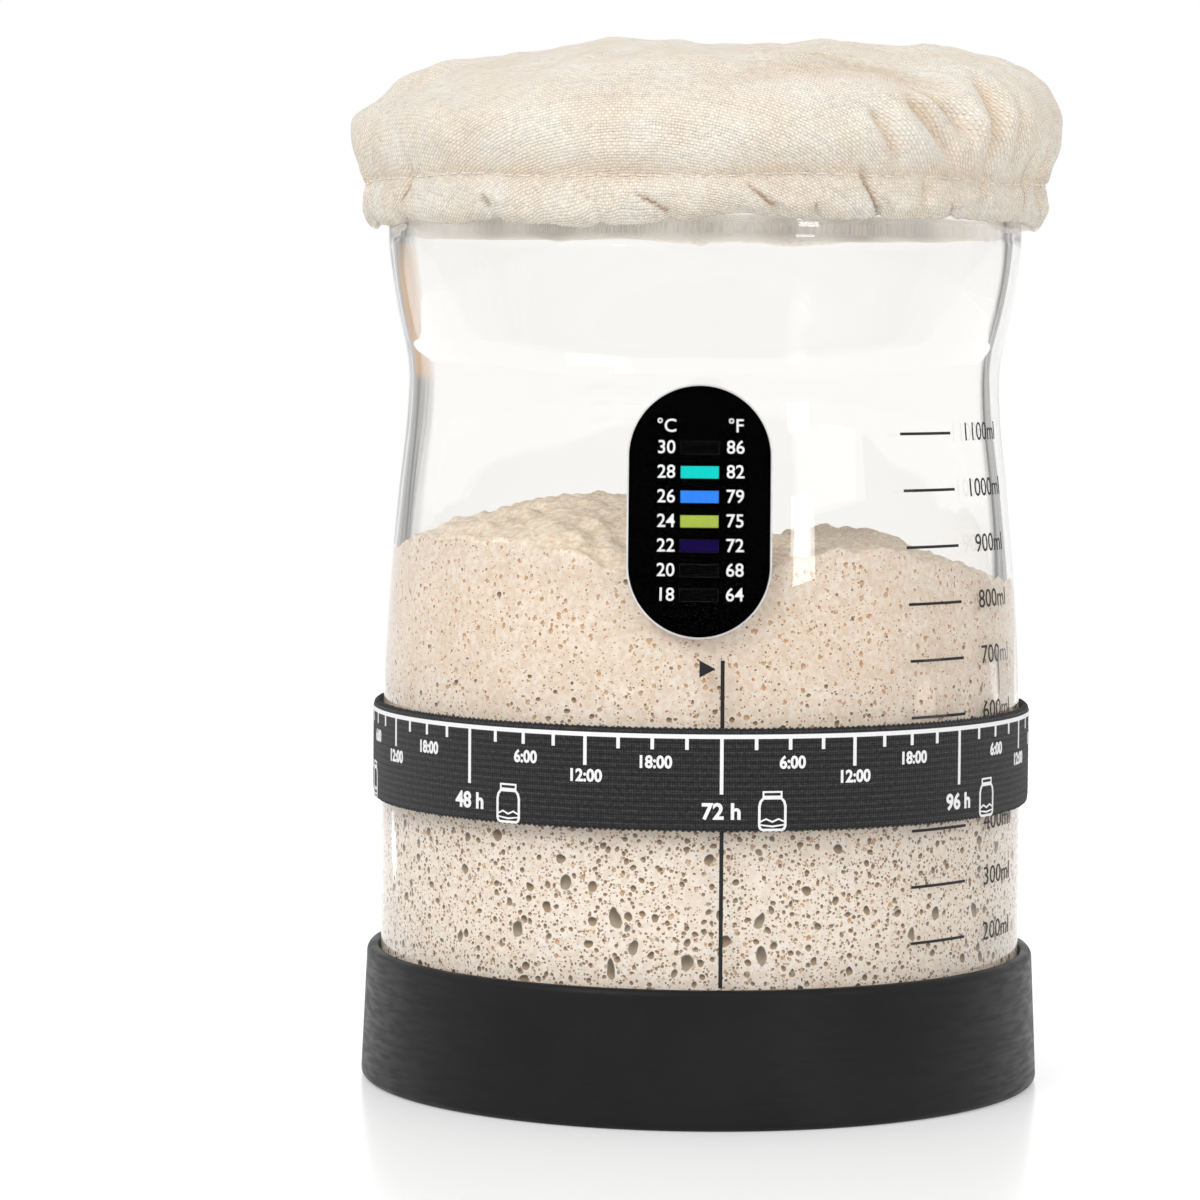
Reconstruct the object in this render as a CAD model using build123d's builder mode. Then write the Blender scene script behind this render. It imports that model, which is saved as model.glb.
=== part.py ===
from build123d import *
import math
import os

# A sourdough starter jar: a waisted glass jar that stands in a silicone base, holds risen starter,
# carries a thermometer strip and a printed elastic band, and is closed by a metal lid under a
# gathered cloth cover. Millimetres. The origin is the centre of the base's underside, +Z is up,
# and the thermometer strip faces -Y.

# Silicone base
base_height = 24.5
base_wall = 2.15
base_draft = 1.1
base_floor = 2.6
base_inner_corner = 6.0
base_foot_round = 1.4
base_rim_round = 0.5
base_foot_band = 8.9
base_recess_depth = 0.8
base_grip_ring_inset = 10.0
base_grip_ring_width = 3.0
base_gap = 0.35

# Glass jar, from its foot up: how high each stretch is, and how far the side moves in or out
glass_wall = 2.9
glass_bottom = 8.6
body_radius = 59.3
body_height = 47.4
shoulder_rise = 68.0
shoulder_inset = 4.0
waist_rise = 10.5
waist_inset = 0.7
flare_rise = 8.2
flare_spread = 0.9
neck_rise = 18.8
neck_spread = 2.9
neck_band_height = 6.0
finish_rise = 16.9
finish_step = 1.2
finish_wall = 2.6
heel_radius = 9.0
bearing_width = 5.0
punt_height = 2.2
inner_corner = 8.0
lip_round = 1.0
neck_edge_chamfer = 0.5

# Risen starter
starter_gap = 0.1
starter_depth = 95.8
starter_crest_left = 9.0
starter_crest_forward = 3.0
starter_dome_radius = 150.0

# Thermometer strip; its middle stands above the jar's straight body
strip_height = 43.4
strip_width = 24.6
strip_rise = 57.4
strip_left = 0.5
strip_gap = 0.08
strip_margin = 0.35
backing_thickness = 0.15
mask_thickness = 0.2
face_thickness = 0.15
layer_gap = 0.1
crystal_width = 6.8
crystal_height = 2.3
crystal_pitch = 4.24
crystal_top_rise = 11.0
crystal_gap = 0.1
crystal_names = ["crystal_30", "crystal_28", "crystal_26", "crystal_24", "crystal_22", "crystal_20", "crystal_18"]

# Elastic band; its lower edge stands above the jar's foot
band_rise = 49.4
band_width = 18.2
band_thickness = 1.2
band_gap = 0.35
band_edge_chamfer = 0.3
band_lap_length = 15.0
band_lap_thickness = 1.0

# Metal lid and its sealing ring
lid_sheet = 0.5
lid_gap = 0.4
lid_skirt_height = 15.2
lid_corner_radius = 1.8
lid_curl_height = 1.4
lid_curl_width = 1.1
lid_curl_chamfer = 0.4
lid_panel_inset = 9.3
lid_panel_slope = 1.5
lid_panel_recess = 0.8
liner_thickness = 1.0
liner_width = 3.6

# Cloth cover and the elastic in its hem
hem_drop = 5.8
hem_gap = 0.4
hem_lining = 0.45
hem_height = 7.4
hem_bulge = 0.4
hem_channel_above = 1.2
elastic_thickness = 0.7
elastic_width = 5.2
elastic_gap = 0.1
crown_rise = 12.1
crown_swell = 3.1
crown_lean = 4.0
cover_cloth_thickness = 1.3
pleat_depth = 1.9
hem_pleat_share = 0.5

# Rings of the hem: height as a share of the hem's, and bulge as a share of the hem's.
hem_ring_shares = [(0.0, 0.0), (0.5, 1.0), (1.0, 0.0)]

# Rings of the crown: height as a share of the crown's, radius as a share of its radius, pleat
# depth as a share of the deepest pleat, and lean to the right as a share of the crown's lean.
crown_ring_shares = [
    (0.205, 0.978, 1.00, 0.00),
    (0.423, 1.000, 0.90, 0.00),
    (0.603, 0.985, 0.75, 0.05),
    (0.744, 0.936, 0.60, 0.25),
    (0.853, 0.855, 0.50, 0.50),
    (0.923, 0.735, 0.40, 0.75),
    (0.974, 0.560, 0.25, 1.00),
    (1.000, 0.330, 0.12, 1.00),
]

# The pleats round the cover, uneven as gathers are: width as a share of the mean width, and the
# depth of the valley before it as a share of the deepest.
pleat_shares = [
    (1.10, 0.60),
    (0.85, 1.00),
    (1.20, 0.45),
    (0.90, 0.80),
    (0.75, 0.55),
    (1.15, 0.95),
    (1.05, 0.40),
    (0.80, 0.75),
    (1.25, 1.00),
    (0.95, 0.50),
    (0.85, 0.85),
    (1.10, 0.45),
    (1.00, 0.90),
    (0.80, 0.60),
    (1.30, 1.00),
    (0.95, 0.50),
    (0.70, 0.90),
    (1.15, 0.65),
]

quarter_turn = 90.0
overrun = 5.0

# Heights and radii that follow, from the base up
cup_radius = body_radius + base_gap
base_rim_radius = cup_radius + base_wall
base_foot_radius = base_rim_radius + base_draft
base_recess_radius = base_foot_radius - base_foot_band
base_grip_ring_radius = base_recess_radius - base_grip_ring_inset

jar_foot_height = base_floor
jar_floor_height = jar_foot_height + glass_bottom
body_top_height = jar_foot_height + body_height
shoulder_height = body_top_height + shoulder_rise
shoulder_radius = body_radius - shoulder_inset
waist_height = shoulder_height + waist_rise
waist_radius = shoulder_radius - waist_inset
flare_height = waist_height + flare_rise
flare_radius = waist_radius + flare_spread
neck_height = flare_height + neck_rise
neck_radius = flare_radius + neck_spread
neck_top_height = neck_height + neck_band_height
finish_radius = neck_radius - finish_step
mouth_radius = finish_radius - finish_wall
mouth_height = neck_top_height + finish_rise

strip_centre_height = body_top_height + strip_rise
crystal_top_height = strip_centre_height + crystal_top_rise

lid_inner_radius = neck_radius + lid_gap
lid_outer_radius = lid_inner_radius + lid_curl_width
lid_wall_radius = lid_inner_radius + lid_sheet
lid_panel_height = mouth_height + liner_thickness
lid_top_height = lid_panel_height + lid_sheet
lid_skirt_bottom = lid_panel_height - lid_skirt_height
lid_inside_corner = lid_corner_radius - lid_sheet

hem_inner_radius = lid_outer_radius + hem_gap
channel_radius = hem_inner_radius + hem_lining
channel_outer_radius = channel_radius + elastic_thickness + 2 * elastic_gap
hem_radius = channel_outer_radius + hem_lining + pleat_depth * hem_pleat_share
crown_radius = hem_radius + crown_swell
cover_bottom_height = lid_skirt_bottom - hem_drop
hem_top_height = cover_bottom_height + hem_height
cover_top_height = lid_top_height + crown_rise
channel_bottom = cover_bottom_height + hem_channel_above
channel_top = channel_bottom + elastic_width + 2 * elastic_gap


def side_line(standoff):
    # The jar's side from the straight body, through the shoulder, waist and flare, to the neck,
    # moved outwards by standoff. Each arc leaves the last one without a kink.
    body_end = (body_radius + standoff, body_top_height)
    shoulder_end = (shoulder_radius + standoff, shoulder_height)
    waist_end = (waist_radius + standoff, waist_height)
    flare_end = (flare_radius + standoff, flare_height)
    neck_end = (neck_radius + standoff, neck_height)
    shoulder = TangentArc(body_end, shoulder_end, tangent=(0, 1))
    waist = TangentArc(shoulder_end, waist_end, tangent=shoulder % 1)
    flare = TangentArc(waist_end, flare_end, tangent=waist % 1)
    TangentArc(flare_end, neck_end, tangent=flare % 1)


def rise_inside(standoff, floor_height, corner):
    # The inside of the jar from the middle of its floor up to the straight body.
    radius = body_radius + standoff
    corner_start = (radius - corner, floor_height)
    corner_end = (radius, floor_height + corner)
    Line((0, floor_height), corner_start)
    TangentArc(corner_start, corner_end, tangent=(1, 0))
    Line(corner_end, (radius, body_top_height))


def ring_profile(inner_radius, outer_radius, bottom, top, plane=Plane.XZ):
    # A closed rectangle between two radii and two heights, to be revolved.
    with BuildSketch(plane) as profile:
        with BuildLine():
            Polyline(
                (inner_radius, bottom),
                (outer_radius, bottom),
                (outer_radius, top),
                (inner_radius, top),
                close=True,
            )
        make_face()
    return profile.sketch


# Silicone base: a cup with a slightly drafted wall, a rounded foot and a recessed underside
with BuildPart() as silicone_base:
    with BuildSketch(Plane.XZ):
        with BuildLine():
            Line((0, 0), (base_foot_radius, 0))
            Line((base_foot_radius, 0), (base_rim_radius, base_height))
            Line((base_rim_radius, base_height), (cup_radius, base_height))
            Line((cup_radius, base_height), (cup_radius, base_floor + base_inner_corner))
            TangentArc(
                (cup_radius, base_floor + base_inner_corner),
                (cup_radius - base_inner_corner, base_floor),
                tangent=(0, -1),
            )
            Line((cup_radius - base_inner_corner, base_floor), (0, base_floor))
            Line((0, base_floor), (0, 0))
        make_face()
    revolve(axis=Axis.Z)
    fillet(silicone_base.edges().filter_by(GeomType.CIRCLE).group_by(Axis.Z)[-1], radius=base_rim_round)
    fillet(silicone_base.edges().filter_by(GeomType.CIRCLE).group_by(Axis.Z)[0], radius=base_foot_round)
    with BuildSketch(Plane.XY):
        Circle(base_recess_radius)
        Circle(base_grip_ring_radius, mode=Mode.SUBTRACT)
        Circle(base_grip_ring_radius - base_grip_ring_width)
    extrude(amount=base_recess_depth, mode=Mode.SUBTRACT)
silicone_base.part.label = "silicone_base"

# Glass jar: one profile of outside and inside, revolved
with BuildPart() as glass_jar:
    with BuildSketch(Plane.XZ):
        with BuildLine():
            heel_start = (body_radius - heel_radius, jar_foot_height)
            heel_end = (body_radius, jar_foot_height + heel_radius)
            bearing_start = (body_radius - heel_radius - bearing_width, jar_foot_height)
            punt_top = (0, jar_foot_height + punt_height)
            TangentArc(punt_top, bearing_start, tangent=(1, 0))
            Line(bearing_start, heel_start)
            TangentArc(heel_start, heel_end, tangent=(1, 0))
            Line(heel_end, (body_radius, body_top_height))
            side_line(0)
            Polyline(
                (neck_radius, neck_height),
                (neck_radius, neck_top_height),
                (finish_radius, neck_top_height),
                (finish_radius, mouth_height),
                (mouth_radius, mouth_height),
                (mouth_radius, neck_top_height),
                (neck_radius - glass_wall, neck_height),
            )
            side_line(-glass_wall)
            rise_inside(-glass_wall, jar_floor_height, inner_corner)
            Line((0, jar_floor_height), punt_top)
        make_face()
    revolve(axis=Axis.Z)
    fillet(glass_jar.edges().filter_by(GeomType.CIRCLE).group_by(Axis.Z)[-1], radius=lip_round)
    neck_edge = glass_jar.edges().filter_by(GeomType.CIRCLE).filter_by_position(
        Axis.Z, neck_top_height, neck_top_height
    )
    chamfer(neck_edge.sort_by(SortBy.RADIUS)[-1], length=neck_edge_chamfer)
glass_jar.part.label = "glass_jar"

# Starter: it fills the jar and ends in a dome whose crest stands left of the middle and a little forward
with BuildPart() as starter:
    with BuildSketch(Plane.XZ):
        with BuildLine():
            starter_offset = -(glass_wall + starter_gap)
            starter_floor = jar_floor_height + starter_gap
            rise_inside(starter_offset, starter_floor, inner_corner)
            side_line(starter_offset)
            Line((neck_radius + starter_offset, neck_height), (0, neck_height))
            Line((0, neck_height), (0, starter_floor))
        make_face()
    revolve(axis=Axis.Z)
    dome_centre_height = starter_floor + starter_depth - starter_dome_radius
    with Locations((-starter_crest_left, -starter_crest_forward, dome_centre_height)):
        Sphere(starter_dome_radius, mode=Mode.INTERSECT)
starter.part.label = "starter"


def strip_outline(margin):
    # The strip's stadium outline on the front plane, larger all round by margin.
    with BuildSketch(Plane.XZ) as outline:
        with Locations((-strip_left, strip_centre_height)):
            SlotOverall(strip_height + 2 * margin, strip_width + 2 * margin, rotation=quarter_turn)
    return outline.sketch


def crystal_outline(row, margin):
    # The window of one row on the front plane, smaller all round by margin.
    with BuildSketch(Plane.XZ) as outline:
        with Locations((-strip_left, crystal_top_height - row * crystal_pitch)):
            Rectangle(crystal_width - 2 * margin, crystal_height - 2 * margin)
    return outline.sketch


def strip_layer(standoff, thickness):
    # The profile of a thin skin that follows the glass all round.
    with BuildSketch(Plane.XZ) as profile:
        with BuildLine():
            near = body_radius + standoff
            far = near + thickness
            side_line(standoff)
            side_line(standoff + thickness)
            Line((near, body_top_height), (far, body_top_height))
            Line((near - body_radius + neck_radius, neck_height), (far - body_radius + neck_radius, neck_height))
        make_face()
    return profile.sketch


backing_standoff = strip_gap
mask_standoff = backing_standoff + backing_thickness + layer_gap
face_standoff = mask_standoff + mask_thickness + layer_gap
strip_reach = body_radius + overrun

# Pale adhesive backing, a margin larger all round than what it carries
with BuildPart() as strip_backing:
    revolve(strip_layer(backing_standoff, backing_thickness), axis=Axis.Z)
    extrude(strip_outline(strip_margin), amount=strip_reach, mode=Mode.INTERSECT)
strip_backing.part.label = "strip_backing"

# Black mask with one window for each temperature
with BuildPart() as strip_mask:
    revolve(strip_layer(mask_standoff, mask_thickness), axis=Axis.Z)
    extrude(strip_outline(0), amount=strip_reach, mode=Mode.INTERSECT)
    for row in range(len(crystal_names)):
        extrude(crystal_outline(row, 0), amount=strip_reach, mode=Mode.SUBTRACT)
strip_mask.part.label = "strip_mask"

# Clear face film over the mask and the crystals
with BuildPart() as strip_face:
    revolve(strip_layer(face_standoff, face_thickness), axis=Axis.Z)
    extrude(strip_outline(0), amount=strip_reach, mode=Mode.INTERSECT)
strip_face.part.label = "strip_face"

# One liquid crystal cell in each window of the mask
crystals = []
for row, name in enumerate(crystal_names):
    with BuildPart() as crystal:
        revolve(strip_layer(mask_standoff, mask_thickness), axis=Axis.Z)
        extrude(crystal_outline(row, crystal_gap), amount=strip_reach, mode=Mode.INTERSECT)
    crystal.part.label = name
    crystals.append(crystal)

# Elastic band: a loop with its two ends lapped and sewn at the back
with BuildPart() as feeding_band:
    band_inner = body_radius + band_gap
    band_outer = band_inner + band_thickness
    band_bottom_height = jar_foot_height + band_rise
    band_top = band_bottom_height + band_width
    lap_turn = band_lap_length / band_outer
    lap_start = math.pi / 2 - lap_turn / 2
    lap_across = (math.cos(lap_start), math.sin(lap_start), 0)
    revolve(ring_profile(band_inner, band_outer, band_bottom_height, band_top), axis=Axis.Z)
    outer_edges = feeding_band.edges().filter_by(GeomType.CIRCLE).sort_by(SortBy.RADIUS)[-2:]
    chamfer(outer_edges, length=band_edge_chamfer)
    lap_plane = Plane(origin=(0, 0, 0), x_dir=lap_across, z_dir=(lap_across[1], -lap_across[0], 0))
    lap_inner = band_inner + band_thickness / 2
    lap_outer = band_outer + band_lap_thickness
    lap_profile = ring_profile(lap_inner, lap_outer, band_bottom_height, band_top, lap_plane)
    revolve(lap_profile, axis=Axis.Z, revolution_arc=math.degrees(lap_turn))
feeding_band.part.label = "feeding_band"

# Lid: a pressed sheet with a recessed panel, a rounded shoulder and a curl round the skirt's edge
with BuildPart() as lid_shell:
    curl_top = lid_skirt_bottom + lid_curl_height
    panel_radius = lid_inner_radius - lid_panel_inset
    panel_edge = panel_radius + lid_panel_slope
    with BuildSketch(Plane.XZ):
        with BuildLine():
            Polyline(
                (0, lid_panel_height - lid_panel_recess),
                (panel_radius, lid_panel_height - lid_panel_recess),
                (panel_edge, lid_panel_height),
                (lid_inner_radius - lid_inside_corner, lid_panel_height),
            )
            TangentArc(
                (lid_inner_radius - lid_inside_corner, lid_panel_height),
                (lid_inner_radius, lid_panel_height - lid_inside_corner),
                tangent=(1, 0),
            )
            Polyline(
                (lid_inner_radius, lid_panel_height - lid_inside_corner),
                (lid_inner_radius, lid_skirt_bottom),
                (lid_outer_radius, lid_skirt_bottom),
                (lid_outer_radius, curl_top),
                (lid_wall_radius, curl_top),
                (lid_wall_radius, lid_top_height - lid_corner_radius),
            )
            TangentArc(
                (lid_wall_radius, lid_top_height - lid_corner_radius),
                (lid_wall_radius - lid_corner_radius, lid_top_height),
                tangent=(0, 1),
            )
            Polyline(
                (lid_wall_radius - lid_corner_radius, lid_top_height),
                (panel_edge, lid_top_height),
                (panel_radius, lid_top_height - lid_panel_recess),
                (0, lid_top_height - lid_panel_recess),
                (0, lid_panel_height - lid_panel_recess),
            )
        make_face()
    revolve(axis=Axis.Z)
    curl_edges = lid_shell.edges().filter_by(GeomType.CIRCLE).sort_by(SortBy.RADIUS)[-2:]
    chamfer(curl_edges, length=lid_curl_chamfer)
lid_shell.part.label = "lid_shell"

with BuildPart() as lid_liner:
    liner_outer = lid_inner_radius - lid_inside_corner
    revolve(ring_profile(liner_outer - liner_width, liner_outer, mouth_height, lid_panel_height), axis=Axis.Z)
lid_liner.part.label = "lid_liner"


def pleated_ring(height, radius, depth, lean):
    # A closed ring of outward arcs that meet in the valleys of the pleats.
    width_sum = sum(width_share for width_share, depth_share in pleat_shares)
    valleys = [radius - depth * depth_share for width_share, depth_share in pleat_shares]
    next_valleys = valleys[1:] + valleys[:1]
    with BuildSketch(Plane.XY.offset(height)) as ring:
        with BuildLine():
            angle = 0
            for (width_share, depth_share), valley, next_valley in zip(pleat_shares, valleys, next_valleys):
                middle = angle + math.pi * width_share / width_sum
                end_angle = angle + 2 * math.pi * width_share / width_sum
                start = (lean + valley * math.cos(angle), valley * math.sin(angle))
                peak = (lean + radius * math.cos(middle), radius * math.sin(middle))
                end = (lean + next_valley * math.cos(end_angle), next_valley * math.sin(end_angle))
                ThreePointArc(start, peak, end)
                angle = end_angle
        make_face()
    return ring.sketch


# Cloth cover: a drawn-in hem round an elastic, and a pleated crown that swells over the lid
with BuildPart() as cover_cloth:
    cover_rings = []
    for height_share, bulge_share in hem_ring_shares:
        ring_height = cover_bottom_height + hem_height * height_share
        ring_radius = hem_radius + hem_bulge * bulge_share
        cover_rings.append(pleated_ring(ring_height, ring_radius, pleat_depth * hem_pleat_share, 0))
    crown_inside = []
    for height_share, radius_share, depth_share, lean_share in crown_ring_shares:
        ring_height = hem_top_height + (cover_top_height - hem_top_height) * height_share
        ring_radius = crown_radius * radius_share
        ring_depth = pleat_depth * depth_share
        ring_lean = crown_lean * lean_share
        cover_rings.append(pleated_ring(ring_height, ring_radius, ring_depth, ring_lean))
        inside_radius = ring_radius - ring_depth - ring_lean - cover_cloth_thickness
        crown_inside.append((inside_radius, ring_height - cover_cloth_thickness * height_share))
    loft(cover_rings, ruled=True)
    with BuildSketch(Plane.XZ):
        with BuildLine():
            Polyline(
                (0, cover_bottom_height - overrun),
                (hem_inner_radius, cover_bottom_height - overrun),
                (hem_inner_radius, hem_top_height),
                *crown_inside,
                (0, cover_top_height - cover_cloth_thickness),
                close=True,
            )
        make_face()
    revolve(axis=Axis.Z, mode=Mode.SUBTRACT)
    channel_profile = ring_profile(channel_radius, channel_outer_radius, channel_bottom, channel_top)
    revolve(channel_profile, axis=Axis.Z, mode=Mode.SUBTRACT)
cover_cloth.part.label = "cover_cloth"

with BuildPart() as cover_elastic:
    elastic_inner = channel_radius + elastic_gap
    elastic_outer = channel_outer_radius - elastic_gap
    elastic_bottom = channel_bottom + elastic_gap
    elastic_top = channel_top - elastic_gap
    revolve(ring_profile(elastic_inner, elastic_outer, elastic_bottom, elastic_top), axis=Axis.Z)
cover_elastic.part.label = "cover_elastic"

os.makedirs("parts", exist_ok=True)
pieces = [
    silicone_base,
    glass_jar,
    starter,
    strip_backing,
    strip_mask,
    *crystals,
    strip_face,
    feeding_band,
    lid_shell,
    lid_liner,
    cover_cloth,
    cover_elastic,
]
for piece in pieces:
    export_step(piece.part, f"parts/{piece.part.label}.step")
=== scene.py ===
import math
import bmesh
import bpy
import numpy as np
from types import SimpleNamespace
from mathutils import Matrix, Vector


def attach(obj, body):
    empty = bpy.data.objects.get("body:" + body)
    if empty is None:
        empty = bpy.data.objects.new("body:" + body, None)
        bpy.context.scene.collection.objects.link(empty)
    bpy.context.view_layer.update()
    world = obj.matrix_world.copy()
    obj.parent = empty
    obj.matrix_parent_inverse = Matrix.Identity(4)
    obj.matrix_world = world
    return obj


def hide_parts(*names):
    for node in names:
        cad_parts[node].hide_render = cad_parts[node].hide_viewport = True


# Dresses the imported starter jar. Blender works in metres; sizes below are in millimetres and
# meet metres in addMesh. The strip faces -Y, and +Z is up from the underside of the base.
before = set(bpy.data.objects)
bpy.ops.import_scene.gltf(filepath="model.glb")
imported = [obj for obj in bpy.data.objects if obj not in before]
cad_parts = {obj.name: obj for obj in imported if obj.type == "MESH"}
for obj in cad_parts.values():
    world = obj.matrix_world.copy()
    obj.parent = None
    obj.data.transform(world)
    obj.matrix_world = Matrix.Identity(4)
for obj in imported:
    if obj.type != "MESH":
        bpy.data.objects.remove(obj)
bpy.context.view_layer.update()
scene = bpy.context.scene
scene.view_settings.view_transform = "Standard"
mm = 0.001
print("frame loaded")


def linearColour(red, green, blue):
    # an sRGB colour in 0-255 as the linear values that shader sockets take
    shares = [channel / 255 for channel in (red, green, blue)]
    curved = [c / 12.92 if c <= 0.04045 else ((c + 0.055) / 1.055) ** 2.4 for c in shares]
    return (*curved, 1.0)


# Camera: 133 mm lens a little above the starter's surface, turned so that the jar stands right of the middle
cameraSet = {"place": (0.0, -0.825, 0.1395), "aim": (-0.0189, 0.0, 0.0884), "lens": 133.3, "roll": 0.4}
cameraData = bpy.data.cameras.new("photoCamera")
cameraData.lens = cameraSet["lens"]
cameraData.sensor_width = 36.0
camera = bpy.data.objects.new("photoCamera", cameraData)
scene.collection.objects.link(camera)
camera.location = cameraSet["place"]
lookAlong = (Vector(cameraSet["aim"]) - Vector(cameraSet["place"])).to_track_quat("-Z", "Y")
camera.rotation_euler = lookAlong.to_euler()
camera.rotation_euler.rotate_axis("Z", math.radians(cameraSet["roll"]))
scene.camera = camera
print("camera placed")


# Node helpers: a value may be a number, a colour or a socket to link
def fillPort(port, value):
    if isinstance(value, bpy.types.NodeSocket):
        port.id_data.links.new(value, port)
    else:
        port.default_value = value


def addNode(tree, kind, ports=None, **settings):
    # kind is the type of node; ports maps the names or numbers of its inputs to values
    node = tree.nodes.new("ShaderNode" + kind)
    for key, value in settings.items():
        setattr(node, key, value)
    for key, value in (ports or {}).items():
        fillPort(node.inputs[key], value)
    return node


def calc(tree, operation, *values):
    # one Math node
    return addNode(tree, "Math", dict(enumerate(values)), operation=operation).outputs[0]


def times(tree, first, second):
    return calc(tree, "MULTIPLY", first, second)


def scaled(tree, value, factor, start):
    # value times factor, plus start
    return calc(tree, "MULTIPLY_ADD", value, factor, start)


def vectorCalc(tree, operation, vector, other):
    # one Vector Math node; to scale, other is a number
    ports = {0: vector, "Scale" if operation == "SCALE" else 1: other}
    return addNode(tree, "VectorMath", ports, operation=operation).outputs[0]


def parts(tree, vector):
    return addNode(tree, "SeparateXYZ", {0: vector}).outputs


def mapped(tree, vector, scale, rotation=(0, 0, 0)):
    return addNode(tree, "Mapping", {"Vector": vector, "Scale": scale, "Rotation": rotation}).outputs[0]


def ramp(tree, value, low, high, outLow=0.0, outHigh=1.0):
    # smooth step from low to high
    ports = {"Value": value, "From Min": low, "From Max": high, "To Min": outLow, "To Max": outHigh}
    return addNode(tree, "MapRange", ports, interpolation_type="SMOOTHSTEP").outputs[0]


def mixColour(tree, share, first, second):
    # first and second are sockets, linear colours or, with three numbers, sRGB colours in 0-255
    ports = {0: share}
    for index, colour in ((6, first), (7, second)):
        plain = isinstance(colour, tuple) and len(colour) == 3
        ports[index] = linearColour(*colour) if plain else colour
    return addNode(tree, "Mix", ports, data_type="RGBA").outputs[2]


def feed(shader, **values):
    # fills inputs of a node, named with _ for a space
    for key, value in values.items():
        fillPort(shader.inputs[key.replace("_", " ")], value)


def newMaterial(name, **values):
    material = bpy.data.materials.new(name)
    material.use_nodes = True
    shader = material.node_tree.nodes["Principled BSDF"]
    feed(shader, **values)
    return material, material.node_tree, shader


def objectCoords(tree):
    return addNode(tree, "TexCoord").outputs["Object"]


def addBump(tree, shader, height, distance, strength=1.0):
    ports = {"Height": height, "Distance": distance, "Strength": strength}
    feed(shader, Normal=addNode(tree, "Bump", ports).outputs[0])


def passLamps(tree, shader, tint=(1, 1, 1, 1)):
    # lamps shine through the material: its shadow rays pass
    shadowRay = addNode(tree, "LightPath").outputs["Is Shadow Ray"]
    clearPass = addNode(tree, "BsdfTransparent", {"Color": tint}).outputs[0]
    passMix = addNode(tree, "MixShader", {0: shadowRay, 1: shader.outputs[0], 2: clearPass})
    feed(tree.nodes["Material Output"], Surface=passMix.outputs[0])


def newGroup(name, results, **numbers):
    # a node group that takes a vector and named numbers, given with their defaults
    group = bpy.data.node_groups.new(name, "ShaderNodeTree")
    group.interface.new_socket("Vector", in_out="INPUT", socket_type="NodeSocketVector")
    for key, default in numbers.items():
        group.interface.new_socket(key, in_out="INPUT", socket_type="NodeSocketFloat").default_value = default
    for key in results:
        group.interface.new_socket(key, in_out="OUTPUT", socket_type="NodeSocketFloat")
    return group, group.nodes.new("NodeGroupInput").outputs, group.nodes.new("NodeGroupOutput").inputs


def useGroup(tree, group, **values):
    node = addNode(tree, "Group", node_tree=group)
    for key, value in values.items():
        fillPort(node.inputs[key.capitalize()], value)
    return node.outputs


# Shared effects
softMottle, given, made = newGroup("softMottle", ["Value"], Size=0.01, Detail=3.0)
tree = softMottle
mottlePorts = {"Vector": given["Vector"], "Detail": given["Detail"]}
mottlePorts["Scale"] = calc(tree, "DIVIDE", 1.0, given["Size"])
fillPort(made["Value"], ramp(tree, addNode(tree, "TexNoise", mottlePorts).outputs[0], 0.3, 0.7))


def mottle(tree, vector, size, detail):
    return useGroup(tree, softMottle, vector=vector, size=size, detail=detail)["Value"]


# dots of random size in cells of a given pitch; Share of the cells hold one
fineSpeckle, given, made = newGroup(
    "fineSpeckle", ["Mask", "Rim", "Depth", "Lift"], Pitch=0.001, Size=0.3, Share=0.5
)
tree = fineSpeckle
cellPorts = {"Vector": given["Vector"], "Scale": calc(tree, "DIVIDE", 1.0, given["Pitch"])}
cells = addNode(tree, "TexVoronoi", cellPorts).outputs
chance = addNode(tree, "SeparateColor", {"Color": cells["Color"]}).outputs
dotRadius = times(tree, given["Size"], calc(tree, "ADD", 0.35, chance[0]))
dotThere = calc(tree, "LESS_THAN", chance[1], given["Share"])
dotShare = calc(tree, "DIVIDE", cells["Distance"], dotRadius)
for name, low, high in (("Mask", 1.0, 0.82), ("Rim", 1.55, 1.05), ("Depth", 1.0, 0.0)):
    fillPort(made[name], times(tree, ramp(tree, dotShare, low, high), dotThere))
dotLift = parts(tree, vectorCalc(tree, "SUBTRACT", given["Vector"], cells["Position"]))[2]
fillPort(made["Lift"], calc(tree, "DIVIDE", dotLift, times(tree, dotRadius, given["Pitch"])))

# plain weave: each thread is round across and waves up and down along its way, and the higher one shows:
# warp = 0.5 cos(pi (v - 0.5 + column)) + 0.75 sin(pi fract u), weft = -0.5 cos(pi (u - 0.5 + row)) +
# 0.75 sin(pi fract v), height = the larger; the warp lies Sunk lower, so the weft's crossings show as grains
threadWeave, given, made = newGroup("threadWeave", ["Height", "Thread"], Pitch=0.001, Wander=0.25, Sunk=0.0)
tree = threadWeave
wanderPorts = {"Vector": given["Vector"], "Scale": calc(tree, "DIVIDE", 0.16, given["Pitch"]), "Detail": 4.0}
wanderNoise = addNode(tree, "TexNoise", wanderPorts).outputs["Color"]
wanderShift = vectorCalc(tree, "SUBTRACT", wanderNoise, (0.5, 0.5, 0.5))
weavePlace = vectorCalc(tree, "SCALE", given["Vector"], calc(tree, "DIVIDE", 1.0, given["Pitch"]))
weaveShift = vectorCalc(tree, "SCALE", wanderShift, given["Wander"])
weaveSplit = parts(tree, vectorCalc(tree, "ADD", weavePlace, weaveShift))
threadSides = []
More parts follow.
